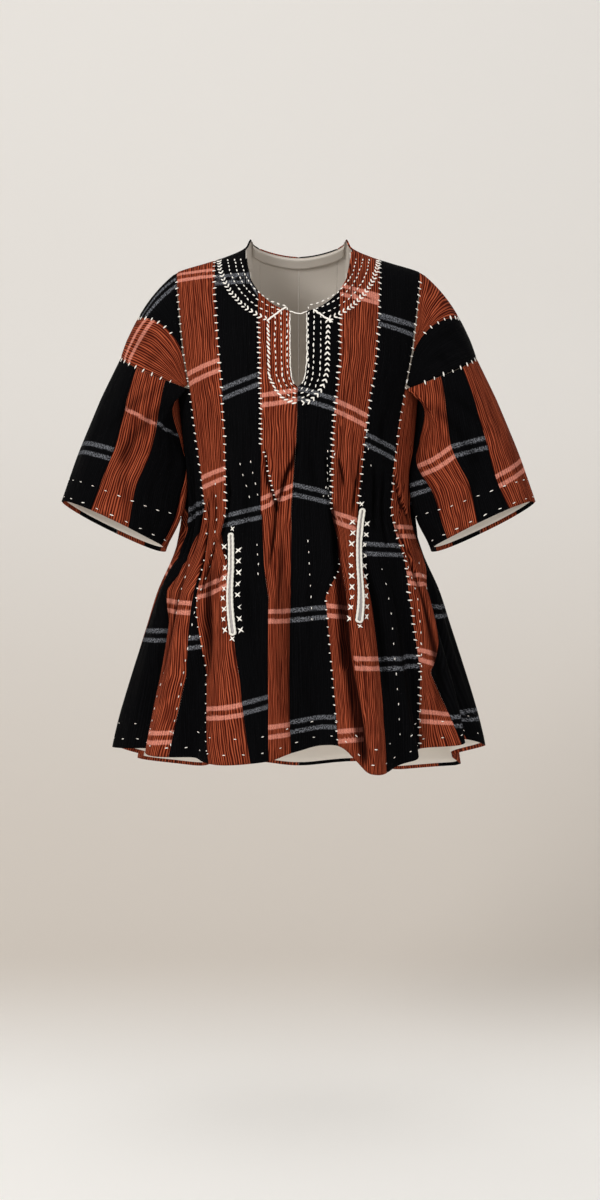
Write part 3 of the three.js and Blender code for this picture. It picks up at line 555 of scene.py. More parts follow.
# name, cloth, seams either side, start, then the first bar of each pair: height at either edge
bodyStrips = [
    ("front_strip_1", "black", "leftSide", "goreOne", armpit, [(-283, -267), (-414, -409)]),
    ("gore_front_left_rust", "rust", "goreOne", "goreTwo", -274, [(-377, -374), (-516, -510)]),
    ("gore_front_left_black", "black", "goreTwo", "one", -303, [(-411, -409)]),
    ("front_strip_2", "rust", "one", "two", None,
     [(-23, -17), (-131, -113), (-242, -229), (-358, -342), (-483, -475)]),
    ("front_strip_3", "black", "two", "three", None, [(-25, -21), (-144, -127), (-281, -270), (-474, -468)]),
    ("front_strip_4", "rust", "three", "middle", None,
     [(-150, -144), (-261, -246), (-379, -379), (-500, -499)]),
    ("front_strip_5", "black", "middle", "four", None,
     [(-142, -154), (-245, -255), (-379, -376), (-497, -492)]),
    ("gore_front_middle", "rust", "four", "goreThree", -303, [(-374, -375), (-507, -501)]),
    ("front_strip_6", "rust", "goreThree", "five", None,
     [(-34, -45), (-155, -173), (-275, -285), (-427, -430)]),
    ("front_strip_7", "black", "five", "six", None, [(-65, -79), (-192, -211), (-309, -315), (-431, -434)]),
    ("front_strip_8", "rust", "six", "seven", armpit,
     [(-294, -300), (-344, -352), (-426, -432), (-493, -495)]),
    ("side_strip_right", "black", "seven", "goreFour", armpit, [(-262, -266), (-381, -386), (-498, -500)]),
    ("gore_side_right", "rust", "goreFour", "goreFive", -453, [(-506, -507)]),
    ("side_strip_right_back", "black", "goreFive", "rightSide", armpit,
     [(-266, -268), (-386, -388), (-500, -503)]),
    ("back_strip_8", "rust", "rightSide", "backOne", armpit, [(-221, -224), (-340, -344), (-462, -470)]),
    ("back_strip_7", "black", "backOne", "backTwo", None,
     [(-64, -58), (-182, -188), (-301, -297), (-420, -431)]),
    ("gore_back_right", "rust", "backTwo", "goreSix", -274, [(-402, -404), (-524, -527)]),
    ("back_strip_6", "rust", "goreSix", "backThree", None,
     [(-101, -98), (-214, -220), (-330, -334), (-455, -458)]),
    ("back_strip_5", "black", "backThree", "backMiddle", None,
     [(-150, -146), (-268, -262), (-388, -390), (-512, -515)]),
    ("back_strip_4", "rust", "backMiddle", "backFour", None,
     [(-90, -95), (-205, -201), (-322, -326), (-444, -441), (-560, -562)]),
    ("back_strip_3", "black", "backFour", "goreSeven", None,
     [(-128, -134), (-246, -252), (-362, -360), (-484, -489)]),
    ("gore_back_left", "rust", "goreSeven", "backFive", -274, [(-382, -380), (-502, -500)]),
    ("back_strip_2", "rust", "backFive", "backSix", None,
     [(-57, -66), (-170, -181), (-288, -292), (-409, -411), (-528, -530)]),
    ("back_strip_1", "rust", "backSix", "backSide", armpit, [(-216, -220), (-338, -342), (-459, -461)]),
]


def seamDip(edge):
    # how far the cloth sinks beside a seam
    return (stripLook["seamDip"] * np.exp(-((edge / stripLook["seamWide"]) ** 2)))[..., None]


def stripTurn(first, second, z):
    start = edgeTurn(first, z, 1)
    return start + (edgeTurn(second, z, -1) - start) * stripShares[None, :]


def bodyGrid(first, second, start):
    share = stripShares[None, :]
    crownCount = stripLook["crownRows"] if start is None else 0
    lowStart = stripLook["crownEnd"] if start is None else start
    lowCount = int((lowStart - stripLook["lowest"]) / stripLook["rowGap"])
    lower = np.linspace(0, 1, lowCount + 1)[:, None]
    z = np.full((crownCount + lowCount + 1, share.shape[1]), -30.0 if start is None else float(start))
    for _ in range(5):
        turn = stripTurn(first, second, z)
        if start is None:
            top, line = topZ(turn)
            reach = np.where(np.cos(turn * deg) >= 0, crown["front"], crown["back"])
            below = np.clip((line - top) / reach, 0, 1)
            firstLean = np.arccos(1 - below)
            rise = np.linspace(0, 1, crownCount, endpoint=False)[:, None]
            lean = firstLean[:crownCount] + (np.pi / 2 - firstLean[:crownCount]) * rise
            crownZ = line[:crownCount] - reach[:crownCount] * (1 - np.cos(lean))
            head = (line - reach)[crownCount:]
        else:
            crownZ = z[:0]
            head = np.full_like(turn, float(start))
        lowZ = head + (hemZ(turn[crownCount:]) - head) * lower
        z = np.concatenate([crownZ, lowZ])
    return stripTurn(first, second, z), z


bodyCloth = {}
for name, kind, first, second, start, bars in bodyStrips:
    turn, z = bodyGrid(first, second, start)
    plain, normal = bodySkin(turn, z)
    if start is None:
        ridge = np.abs(bodyPoint(turn[0], z[0])[..., 1]) < 1
        ahead = np.cos(turn[0] * deg) > 0
        plain[0, :, 1] = np.where(ridge, np.where(ahead, -0.04, 0.04), plain[0, :, 1])
        normal[0, :, 1] = np.where(ridge, 0, normal[0, :, 1])
        normal[0] = unit(normal[0])
    width = steps(plain, 1).sum(axis=1)[:, None]
    edge = np.minimum(stripShares, 1 - stripShares)[None, :] * width
    along = runOf(plain)
    isGore = name.startswith("gore")
    # a gore's threads fan out, a strip's stay parallel
    across = (stripShares - 0.5) * width if isGore else stripShares * np.median(width) + 0 * along
    distance = np.full(along.shape, noBar)
    for left, right in bars:
        for j, share in enumerate(stripShares):
            level = left + (right - left) * share - rustLook["barOffset"]
            at = np.interp(-level, -z[:, j], along[:, j])
            distance[:, j] = np.minimum(distance[:, j], np.abs(along[:, j] - at))
    offset = 37.0 * len(bodyCloth)   # no two strips have the same wavy lines
    cloth = np.stack([across + offset, along + offset, distance], axis=-1)
    # the crease depth goes along too, for the painted shade in the troughs
    obj = shell(name + "_cloth", plain - normal * seamDip(edge), plain - normal * wall, [cloths[kind], cream],
                cloth, stripLook["turnUp"], creaseShadeDepth=bodyShade(turn, z))
    finishPiece(obj, plain, [name])
    bodyCloth[name] = obj
print("body strips made")


# ---- sleeves ----
sleeve = {
    "t": [0, 0.25, 0.5, 0.78, 1], "outX": [194, 217, 236, 250, 259], "outZ": [-116, -163, -207, -246, -272],
    "inX": [134, 135, 136, 140, 146], "inZ": [-146, -188, -236, -288, -326],
    "depth": [55, 56, 54, 52, 50], "fore": [0, 3, 7, 11, 14], "rise": [0, 3, 7, 11, 14],
    "lap": [0, 7, 15, 15, 3],
}
corner = 115       # degrees round the sleeve to the armhole's lower corner
capSeamTop = 0.6
capSeamEnd = 72
capBulge = 9
capLimit = 71.5
capGap = 0.0006     # share of the cap's depth left open at its seams
armpitGap = 0.9
sleeveSeamRows = [0, 0.4, 0.7, 1]
sleeveSeams = {   # degrees round the sleeve at those rows, front first
    "left": [
        [180, 200, 203, 205], [corner, 158, 151, 153], [96, 117, 107, 108], [58, 77, 73, 70], [-3, 0, -1, -2],
        [-38, -44, -45, -46], [-76, -86, -88, -90], [-corner, -124, -123, -122], [-180, -160, -157, -155],
    ],
    "right": [
        [180, 200, 203, 205], [corner, 152, 135, 134], [84, 109, 98, 98], [54, 69, 71, 66], [-3, 0, -1, -2],
        [-38, -44, -45, -46], [-76, -86, -88, -90], [-corner, -124, -123, -122], [-180, -160, -157, -155],
    ],
}
# creases of a sleeve: degrees round it and share of its length at both ends, half width, depth, bow
sleeveCreases = [
    (172, 2, 168, 130, 12, 3.6, 0), (156, -4, 150, 60, 12, 2.2, 0), (160, 70, 158, 166, 12, 2.6, 0),
    (100, 6, 60, 70, 7, -2.2, 5), (120, 14, 88, 96, 7, -2.6, 6), (40, 24, 70, 118, 8, -1.6, 6),
    (15, 40, 28, 130, 9, -1.5, 5), (88, 70, 110, 150, 8, -1.8, 6), (-30, 20, -12, 110, 9, -1.6, 6),
    (-70, 16, -52, 120, 8, -2.0, 6), (-110, 20, -90, 130, 8, -2.2, 6), (150, 30, 150, 150, 8, -1.6, 5),
    (-150, 24, -145, 140, 8, -1.8, 5), (62, -40, 40, -6, 7, -1.8, 4), (82, -36, 70, -2, 6, -2.0, 3),
    (-60, -40, -44, -4, 7, -1.8, 4), (20, -52, 8, -12, 9, -1.2, 4), (52, 60, 44, 150, 8, 1.6, -5),
    (-20, 70, -30, 150, 8, 1.4, 5), (-85, 60, -95, 150, 8, 1.4, 5),
]
sleeveSpan = 165   # mm from the cap's seam to the cuff
capSpan = 75
sleevePerDegree = 0.95


def wrapped(around):
    return (around + 900) % 360 - 180


def armholeTurn(side, around, z):
    ahead, behind = ("one", "backSix") if side < 0 else ("six", "backOne")
    return np.where(around > 0, seamTurn(ahead, z), seamTurn(behind, z))


def armholePoint(side, around):
    lean = np.abs(around) / corner * 90
    top = float(shoulderZ(132))
    z = top + (armpit - top) * (1 - np.cos(lean * deg))
    point = bodyPoint(armholeTurn(side, around, z), np.minimum(z, top))
    point[..., 0] += side * 0.4
    point[..., 1] = np.where(np.abs(around) < 1e-6, 0, point[..., 1])
    return point


def sleeveLoop(side, around, t):
    t = np.clip(t, 0, 1) + 0 * around
    value = {key: smooth(sleeve["t"], sleeve[key], t) for key in sleeve if key != "t"}
    c, s = np.cos(around * deg), np.sin(around * deg)
    midX, midZ = (value["outX"] + value["inX"]) / 2, (value["outZ"] + value["inZ"]) / 2
    reach = signedPower(c, 2 / bodyPower)
    lap = value["lap"] * np.exp(-((wrapped(around - 155) / 22) ** 2))
    x = midX + (value["outX"] - midX) * reach - lap
    z = midZ + (value["outZ"] - midZ) * reach + value["rise"] * s
    y = -value["fore"] - value["depth"] * signedPower(s, 2 / bodyPower)
    return np.stack([side * x, y, z], axis=-1)


def sleeveTop(side, around):
    near = wrapped(around)
    lean = np.clip(near, -corner, corner) / corner * 90
    end = armholePoint(side, np.where(near >= 0, corner, -corner).astype(float))
    reach = np.cos(lean * deg).clip(0) ** (2 / 2.4)
    out = np.abs(np.sin(lean * deg)) ** (2 / 2.4)
    swell = 1 + 0.12 * np.sin(2 * np.abs(lean) * deg)
    overX = end[..., 0] + (side * sleeve["outX"][0] - end[..., 0]) * reach
    over = np.stack([overX, end[..., 1] * out * swell, armpit + (sleeve["outZ"][0] - armpit) * reach], axis=-1)
    share = (np.abs(near) - corner) / (180 - corner)
    start = armholeTurn(side, near, armpit)
    middle = np.where(near > 0, -90, 270) if side < 0 else 90
    turn = start + (middle - start) * share
    level = np.full_like(turn, float(armpit))
    away = bodyNormal(turn, level) * [1, 1, 0]
    under = bodyPoint(turn, level) + unit(away) * armpitGap
    return np.where((np.abs(near) <= corner)[..., None], over, under)


def sleevePoint(side, around, t):
    around, t = np.broadcast_arrays(np.asarray(around, float), np.asarray(t, float))
    near = np.clip(wrapped(around), -corner, corner)
    share = 1 + np.clip(t, -1, 0)
    lean = near / corner * 90
    swell = capBulge * 4 * share * (1 - share) * np.cos(lean * deg)
    start, end = armholePoint(side, near), sleeveTop(side, near)
    cap = start + (end - start) * share[..., None]
    cap = cap + np.stack([side * swell * 0.7, -np.sin(lean * deg) * swell * 0.5, swell * 0.7], axis=-1)
    fade = (1 - np.clip(t / 0.55, 0, 1)) ** 2
    draw = sleeveTop(side, around) - sleeveLoop(side, around, 0)
    lower = sleeveLoop(side, around, t) + draw * fade[..., None]
    return np.where((t < 0)[..., None], cap, lower)


def sleeveNormal(side, around, t):
    around, t = np.broadcast_arrays(np.asarray(around, float), np.asarray(t, float))
    lowest = np.where(np.abs(wrapped(around)) < corner - 3, -0.98, 0.02)
    at = np.clip(t, lowest, 0.98)
    middle = (sleeveLoop(side, 0 * around, t) + sleeveLoop(side, 180 + 0 * around, t)) / 2
    middle = np.where((t < 0)[..., None], np.array([side * 122, 0, -100]), middle)
    outward = sleevePoint(side, around, t) - middle
    alongU = sleevePoint(side, around + 1.5, at) - sleevePoint(side, around - 1.5, at)
    alongV = sleevePoint(side, around, at + 0.02) - sleevePoint(side, around, at - 0.02)
    return facing(alongU, alongV, outward)


def sleeveShade(around, t):
    down = np.where(t < 0, t * capSpan, t * sleeveSpan)
    return creaseLift(sleeveCreases, wrapped(around), down, sleevePerDegree)


def sleeveSkin(side, around, t):
    normal = sleeveNormal(side, around, t)
    return sleevePoint(side, around, t) + normal * sleeveShade(around, t)[..., None], normal


def capSeam(around):
    lean = np.clip(np.abs(around) / (capSeamEnd / 90 * corner), 0, 1)
    return -1 + capSeamTop * (1 - lean**1.7)


def addSleevePiece(name, kind, side, around, t, bars, alongRows):
    # alongRows: the strip runs down the rows, otherwise from column to column
    plain, normal = sleeveSkin(side, around, t)
    # crease depth, kept so the material can paint shade into the troughs
    creaseShadeDepth = sleeveShade(around, t)
    if side > 0:
        plain, normal, creaseShadeDepth = plain[:, ::-1], normal[:, ::-1], creaseShadeDepth[:, ::-1]
    axis = 0 if alongRows else 1   # the way that the threads run
    wide = steps(plain, 1 - axis).sum(axis=1 - axis, keepdims=True)
    share = np.expand_dims(np.linspace(0, 1, plain.shape[1 - axis]), axis)
    run = runOf(plain, axis)
    across = share * np.median(wide)
    edge = np.minimum(share, 1 - share) * wide
    distance = np.full(run.shape, noBar)
    for first, second, *single in bars:
        at = (first + (second - first) * share) * run.take([-1], axis)
        apart = rustLook["barOffset"] if single else 0
        distance = np.minimum(distance, np.abs(run - at) + apart)
    offset = 23.0 * len(bodyCloth) + 11
    cloth = np.stack([across + 0 * run + offset, run + offset, distance], axis=-1)
    obj = shell(name + "_cloth", plain - normal * seamDip(edge), plain - normal * wall,
                [cloths[kind], cream], cloth, 2 if alongRows else 0, creaseShadeDepth=creaseShadeDepth)
    finishPiece(obj, plain, [name])
    bodyCloth[name] = obj


capLeans = np.linspace(-88, 88, 61)
edgeShares = np.linspace(0, 1, 13)
# bars of the sleeves' strips, as shares of each strip's length at either edge
sleeveBars = {
    "left": {"cap_upper": [(0.6, 0.62)], "cap_lower": [(0.64, 0.64)],
             2: [(0.33, 0.28, 1)], 3: [(0.3, 0.28, 1)], 4: [(0.6, 0.64)],   # 1: a single bar
             5: [(0.3, 0.33)], 6: [(0.7, 0.68)], 7: [(0.42, 0.4)], 8: [(0.6, 0.6)]},
    "right": {1: [(0.66, 0.6)], 2: [(0.5, 0.56)], 3: [(0.53, 0.5)], 4: [(0.74, 0.8)],
              5: [(0.3, 0.33)], 6: [(0.66, 0.64)], 7: [(0.38, 0.4)], 8: [(0.6, 0.62)]},
}
for side, label in ((-1, "left"), (1, "right")):
    dark, light = ("black", "rust") if side < 0 else ("rust", "black")
    bars = sleeveBars[label]
    leans = capLeans[np.abs(capLeans) <= capLimit][None, :]
    around = leans / 90 * corner
    seam = np.maximum(-0.97, capSeam(around) - capGap)
    t = -1 + (seam + 1) * np.linspace(0, 1, 13)[:, None]
    upper, lower = bars.get("cap_upper", []), bars.get("cap_lower", [])
    addSleevePiece(f"sleeve_{label}_cap_upper", dark, side, around + 0 * t, t, upper, False)
    around = capLeans[None, :] / 90 * corner
    seam = np.maximum(-1, capSeam(around) + capGap)
    t = seam + (-capGap - seam) * np.linspace(0, 1, 15)[:, None]
    addSleevePiece(f"sleeve_{label}_cap_lower", light, side, around + 0 * t, t, lower, False)
    rows = np.linspace(0.0008, 1, 42)[:, None]
    for k in range(8):
        start = smooth(sleeveSeamRows, sleeveSeams[label][k], rows) - 0.03
        end = smooth(sleeveSeamRows, sleeveSeams[label][k + 1], rows) + 0.03
        around = start + (end - start) * edgeShares[None, :]
        kind = dark if k % 2 else light
        own = bars.get(k + 1, [])
        addSleevePiece(f"sleeve_{label}_strip_{k + 1}", kind, side, around, rows + 0 * around, own, True)
print("sleeves made")


# ---- facings ----
facingLook = {"inset": 2.6, "thick": 1.0, "hemTop": -500, "hemShort": 4.5, "cuffStart": 0.76, "cuffEnd": 0.972,
              "neckDeep": 12}


def addFacing(name, plain, normal, extra=0.0, ring=False):
    front = facingLook["inset"] + extra
    back = front + facingLook["thick"]
    obj = shell(name + "_cloth", plain - normal * front, plain - normal * back, [cream], ring=ring)
    finishPiece(obj, plain, [name])


hemFacings = [("hem_facing_front", "leftSide", "rightSide"), ("hem_facing_back", "rightSide", "backSide")]
for name, first, second in hemFacings:
    share = np.linspace(0, 1, 160)[None, :]
    z = np.full((14, 160), -520.0)
    for _ in range(4):
        turn = seamTurn(first, z) + 0.1 + (seamTurn(second, z) - seamTurn(first, z) - 0.2) * share
        deep = hemZ(turn) + facingLook["hemShort"] - facingLook["hemTop"]
        z = facingLook["hemTop"] + deep * np.linspace(0, 1, 14)[:, None]
    addFacing(name, *bodySkin(turn, z))
for side, label in ((-1, "left"), (1, "right")):
    around = np.linspace(-180, 180, 96, endpoint=False)[None, :]
    t = np.linspace(facingLook["cuffStart"], facingLook["cuffEnd"], 12)[:, None]
    plain, normal = sleeveSkin(side, side * around + 0 * t, t + 0 * around)
    if side < 0:
        plain, normal = plain[:, ::-1], normal[:, ::-1]
    addFacing(f"cuff_facing_{label}", plain, normal, ring=True)
neckFacings = [("neck_facing_left", -19, -4.2), ("neck_facing_right", 4.2, 19),
               ("neck_facing_back", 161.5, 198.5)]
for name, first, last in neckFacings:
    turn = np.linspace(first, last, 40)[None, :] + np.zeros((6, 1))
    z = topZ(turn)[0] - np.linspace(0.4, facingLook["neckDeep"], 6)[:, None]
    addFacing(name, *bodySkin(turn, z), extra=0.5)
print("facings made")


# ---- stitches: each is a point with a direction, an outward side and a size ----
def onFront(x, z):
    # turn of the point of the front at that place across
    half = smooth(form["z"], form["half"], z)
    return np.degrees(np.arcsin(np.clip(signedPower(x / half, bodyPower / 2), -1, 1)))


def spacedOn(points, normals, pitch):
    # places at an even pitch along a path, their forward and outward directions
    along = runOf(points)
    count = max(2, int(along[-1] / pitch))
    at = (np.arange(count) + 0.5) * along[-1] / count

    def sampled(values, where):
        return np.stack([np.interp(where, along, values[:, k]) for k in range(3)], axis=-1)
    return (sampled(points, at), unit(sampled(points, at + 0.5) - sampled(points, at - 0.5)),
            unit(sampled(normals, at)))


def spaced(turn, z, pitch):
    return spacedOn(*bodySkin(turn, z), pitch)


dice = np.random.default_rng(11)


def sew(rows, path, size, slant=0.0, lift=0.3, uneven=0.12):
    # slant: degrees from the path, 90 lies across it
    place, forward, out = path
    across = np.cross(out, forward)
    lean = (slant + dice.normal(0, 60 * uneven, len(place))) * deg
    direction = forward * np.cos(lean)[:, None] + across * np.sin(lean)[:, None]
    scale = np.array(size)[None, :] / 2 * (1 + dice.normal(0, uneven, (len(place), 1)))
    rows.append((place + out * lift + across * dice.normal(0, 0.25, (len(place), 1)), direction, out, scale))


def whip(rows, path, length, thick=1.5, slant=80):
    sew(rows, path, (length, thick, thick * 0.8), slant, lift=0.1)


def running(rows, path, length, thick):
    sew(rows, path, (length, thick, thick * 0.7))


def feathers(rows, path, size, angle, pointing=1):
    place, forward, out = path
    across = np.cross(out, forward)
    for way in (-1, 1):
        sew(rows, (place + across * way * size * 0.24, forward, out), (size, size * 0.36, size * 0.26),
            -pointing * way * angle + (180 if pointing < 0 else 0), uneven=0.08)


def crosses(rows, path, size):
    for lean in (45, -45):
        sew(rows, path, (size * 1.25, size * 0.26, size * 0.22), lean, uneven=0.08)


def stitchTree():
    tree = bpy.data.node_groups.new("sewnStitches", "GeometryNodeTree")
    sockets = {"Geometry": "Geometry", "Segments": "Int", "Rings": "Int", "Thread": "Material"}
    for label, kind in sockets.items():
        tree.interface.new_socket(label, in_out="INPUT", socket_type="NodeSocket" + kind)
    tree.interface.new_socket("Geometry", in_out="OUTPUT", socket_type="NodeSocketGeometry")
    given, result = tree.nodes.new("NodeGroupInput").outputs, tree.nodes.new("NodeGroupOutput")
    ball = feed(tree, node(tree, "GeometryNodeMeshUVSphere"),
                {"Segments": given["Segments"], "Rings": given["Rings"], "Radius": 1.0})
    fields = {}
    for label in stitchFields:
        made = node(tree, "GeometryNodeInputNamedAttribute", data_type="FLOAT_VECTOR")
        fields[label] = feed(tree, made, {"Name": label})["Attribute"]
    axes = feed(tree, node(tree, "FunctionNodeAxesToRotation", primary_axis="X", secondary_axis="Z"),
                {0: fields["direction"], 1: fields["outward"]})
    placed = feed(tree, node(tree, "GeometryNodeInstanceOnPoints"),
                  {"Points": given["Geometry"], "Instance": ball["Mesh"], "Rotation": axes[0],
                   "Scale": fields["size"]})
    solid = feed(tree, node(tree, "GeometryNodeRealizeInstances"), {0: placed[0]})
    dressed = feed(tree, node(tree, "GeometryNodeSetMaterial"),
                   {"Geometry": solid[0], "Material": given["Thread"]})
    feed(tree, result, {0: dressed[0]})
    return tree


stitchFields = ("direction", "outward", "size")
stitchLook = {"Segments": 6, "Rings": 4, "Thread": thread}
stitchNodes = stitchTree()


def addStitches(name, rows):
    place, direction, outward, size = (np.concatenate(part) for part in zip(*rows))
    mesh = bpy.data.meshes.new(name + "Points")
    mesh.from_pydata((place * mm).tolist(), [], [])
    for label, values in zip(stitchFields, (direction, outward, size * mm)):
        layer = mesh.attributes.new(label, "FLOAT_VECTOR", "POINT")
        layer.data.foreach_set("vector", values.astype(np.float32).ravel())
    source = bpy.data.objects.new(name + "Points", mesh)
    scene.collection.objects.link(source)
    modifier = source.modifiers.new("sewn", "NODES")
    modifier.node_group = stitchNodes
    for item in stitchNodes.interface.items_tree:
        if item.in_out == "INPUT" and item.name in stitchLook:
            modifier[item.identifier] = stitchLook[item.name]
    sewn = bpy.data.meshes.new_from_object(source.evaluated_get(bpy.context.evaluated_depsgraph_get()))
    for attribute in [a for a in sewn.attributes if a.name in stitchFields]:
        sewn.attributes.remove(attribute)
    sewn.polygons.foreach_set("use_smooth", np.ones(len(sewn.polygons), bool))
    sewn.name = name
    bpy.data.objects.remove(source)
    obj = bpy.data.objects.new(name, sewn)
    scene.collection.objects.link(obj)
    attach(obj, "root")
    print(f"{name}: {len(place)} stitches")


# whip stitches across the seams: seam, height from, height to, pitch, length
whipSeams = [
    ("one", -30, -290, 8.4, 4.8), ("one", -296, -530, 10.5, 2.8), ("four", -325, -520, 9, 3.4),
    ("two", -8, -285, 8.6, 5.0), ("three", -66, -204, 5.3, 4.8),
    ("four", -66, -275, 6.4, 5.2), ("five", -6, -270, 7.8, 5.0), ("six", -30, -532, 8.6, 5.2),
    ("backOne", -30, -560, 8.8, 5.0), ("backTwo", -8, -300, 8.6, 5.0), ("backThree", -8, -300, 8.4, 5.0),
    ("backMiddle", -12, -300, 8.8, 5.0), ("backFour", -8, -300, 8.4, 5.0), ("goreSeven", -8, -300, 8.6, 5.0),
    ("backSix", -30, -560, 8.8, 5.0),
]
seamRows = []
for name, top, bottom, pitch, length in whipSeams:
    z = np.linspace(top, bottom, 160)
    whip(seamRows, spaced(seamTurn(name, z), z, pitch), length)
# the seam left of the middle runs into a pleat above the waist
z = np.linspace(-208, -264, 40)
whip(seamRows, spaced(np.linspace(-15.2, -9.2, 40), z, 5.3), 4.6)
addStitches("seamStitches", seamRows)

# rows round the neck and down both sides of the keyhole: distance from the neck's edge at the
# shoulder and from the slit's edge, and where they reach below it
neckRows = {
    "left": [(5.5, 5.3, -143.5), (12.5, 11.7, -148), (20, 18, -152.5), (30, 25.5, -158)],
    "right": [(5.5, 3.8, -143.5), (12.5, 9.7, -148), (20, 17, -152.5), (30, 24.5, -158)],
}
neckLook = {   # sizes of the stitches: length, width and height, mm
    "running": (3.9, 1.4), "feather": 5.2, "featherLean": 36, "rope": (6.6, 2.0, 1.5), "ropeLean": 28,
    "mitre": (4.6, 2.2, 1.8), "loop": (3.4, 1.3, 1.3), "edge": (3.2, 1.3, 1.5), "bendTop": -118.0,
}
feather, featherLean = neckLook["feather"], neckLook["featherLean"]
neckStitchRows = []
for label, side in (("left", -1), ("right", 1)):
    for k, (fromNeck, fromSlit, foot) in enumerate(neckRows[label]):
        x = slit["half"] + fromSlit
        mitreZ = -57 - (x - 13) * 0.68
        half = neck["half"] + fromNeck
        drop = -mitreZ / np.sqrt(1 - (x / half) ** 2)
        lean = np.linspace(1.45, np.arcsin(x / half), 80)
        pathX, pathZ = half * np.sin(lean), -drop * np.cos(lean)
        on = pathZ < shoulderZ(pathX) - 0.5
        neckPath = (side * pathX[on], pathZ[on])
        bendTop = neckLook["bendTop"]
        lean = np.linspace(0, 1.5, 30)
        sideX = np.concatenate([np.full(40, x) * np.linspace(1, 0.97, 40), 0.97 * x * np.cos(lean)])
        sideZ = np.concatenate([np.linspace(mitreZ, bendTop, 40), bendTop + (foot - bendTop) * np.sin(lean)])
        for number, (pathX, pathZ) in enumerate((neckPath, (side * sideX, sideZ))):
            turn = onFront(pathX, pathZ)
            if k < 3:
                running(neckStitchRows, spaced(turn, pathZ, 5.9 if number else 6.3), *neckLook["running"])
            elif number and side < 0:
                sew(neckStitchRows, spaced(turn, pathZ, 4.6), neckLook["rope"], neckLook["ropeLean"])
            else:
                path = spaced(turn, pathZ, 5.6)
                feathers(neckStitchRows, path, feather, featherLean, -1 if number else 1)
# back of the neck
for fromNeck in (5.5, 12.5, 20, 29):
    half = neck["halfBack"] + fromNeck
    lean = np.linspace(-1.5, 1.5, 100)
    pathX = half * np.sin(lean)
    pathZ = shoulderZ(pathX) - (neck["dropBack"] + fromNeck) * np.cos(lean) - 1
    turn = 180 - onFront(pathX, pathZ)
    path = spaced(turn, pathZ, 6.8)
    if fromNeck < 29:
        running(neckStitchRows, path, *neckLook["running"])
    else:
        feathers(neckStitchRows, path, feather, featherLean)
# thick mitre bars and the loop at the slit's top
for startX, startZ, endX, endZ in ((-13.5, -57.5, -33, -71), (16.2, -60, 35.5, -72.5)):
    pathX, pathZ = np.linspace(startX, endX, 24), np.linspace(startZ, endZ, 24)
    sew(neckStitchRows, spaced(onFront(pathX, pathZ), pathZ, 2.0), neckLook["mitre"], uneven=0.03)
loopTurn = np.linspace(-2.7, 2.7, 24)
loopZ = -61.5 - 2.4 * np.cos(loopTurn / 2.7 * 90 * deg)
sew(neckStitchRows, spaced(loopTurn, loopZ, 1.7), neckLook["loop"], uneven=0.04)
for side in (-1, 1):
    z = np.linspace(-64, -137, 60)
    sew(neckStitchRows, spaced(edgeTurn("middle", z, side), z, 1.9), neckLook["edge"], lift=-0.3, uneven=0.1)
addStitches("neckStitches", neckStitchRows)

# pocket slits: cord round the slit, and crosses either side of it
pockets = {
    "left": {"top": -302, "bottom": -401, "turn": -32, "lean": 10},
    "right": {"top": -275, "bottom": -388, "turn": 30.6, "lean": -10},
}
pocketLook = {"half": 2.6, "cord": 1.35, "lift": 1.8, "twist": 5.2, "lining": 0.9, "cross": 7.2,
              "crossPitch": 11.2, "endCross": 6.2}


def pocketTurn(pocket, z, across):
    share = np.clip((pocket["top"] - z) / (pocket["top"] - pocket["bottom"]), 0, 1)
    return pocket["turn"] + pocket["lean"] * share + across / smooth(form["z"], form["half"], z) / deg


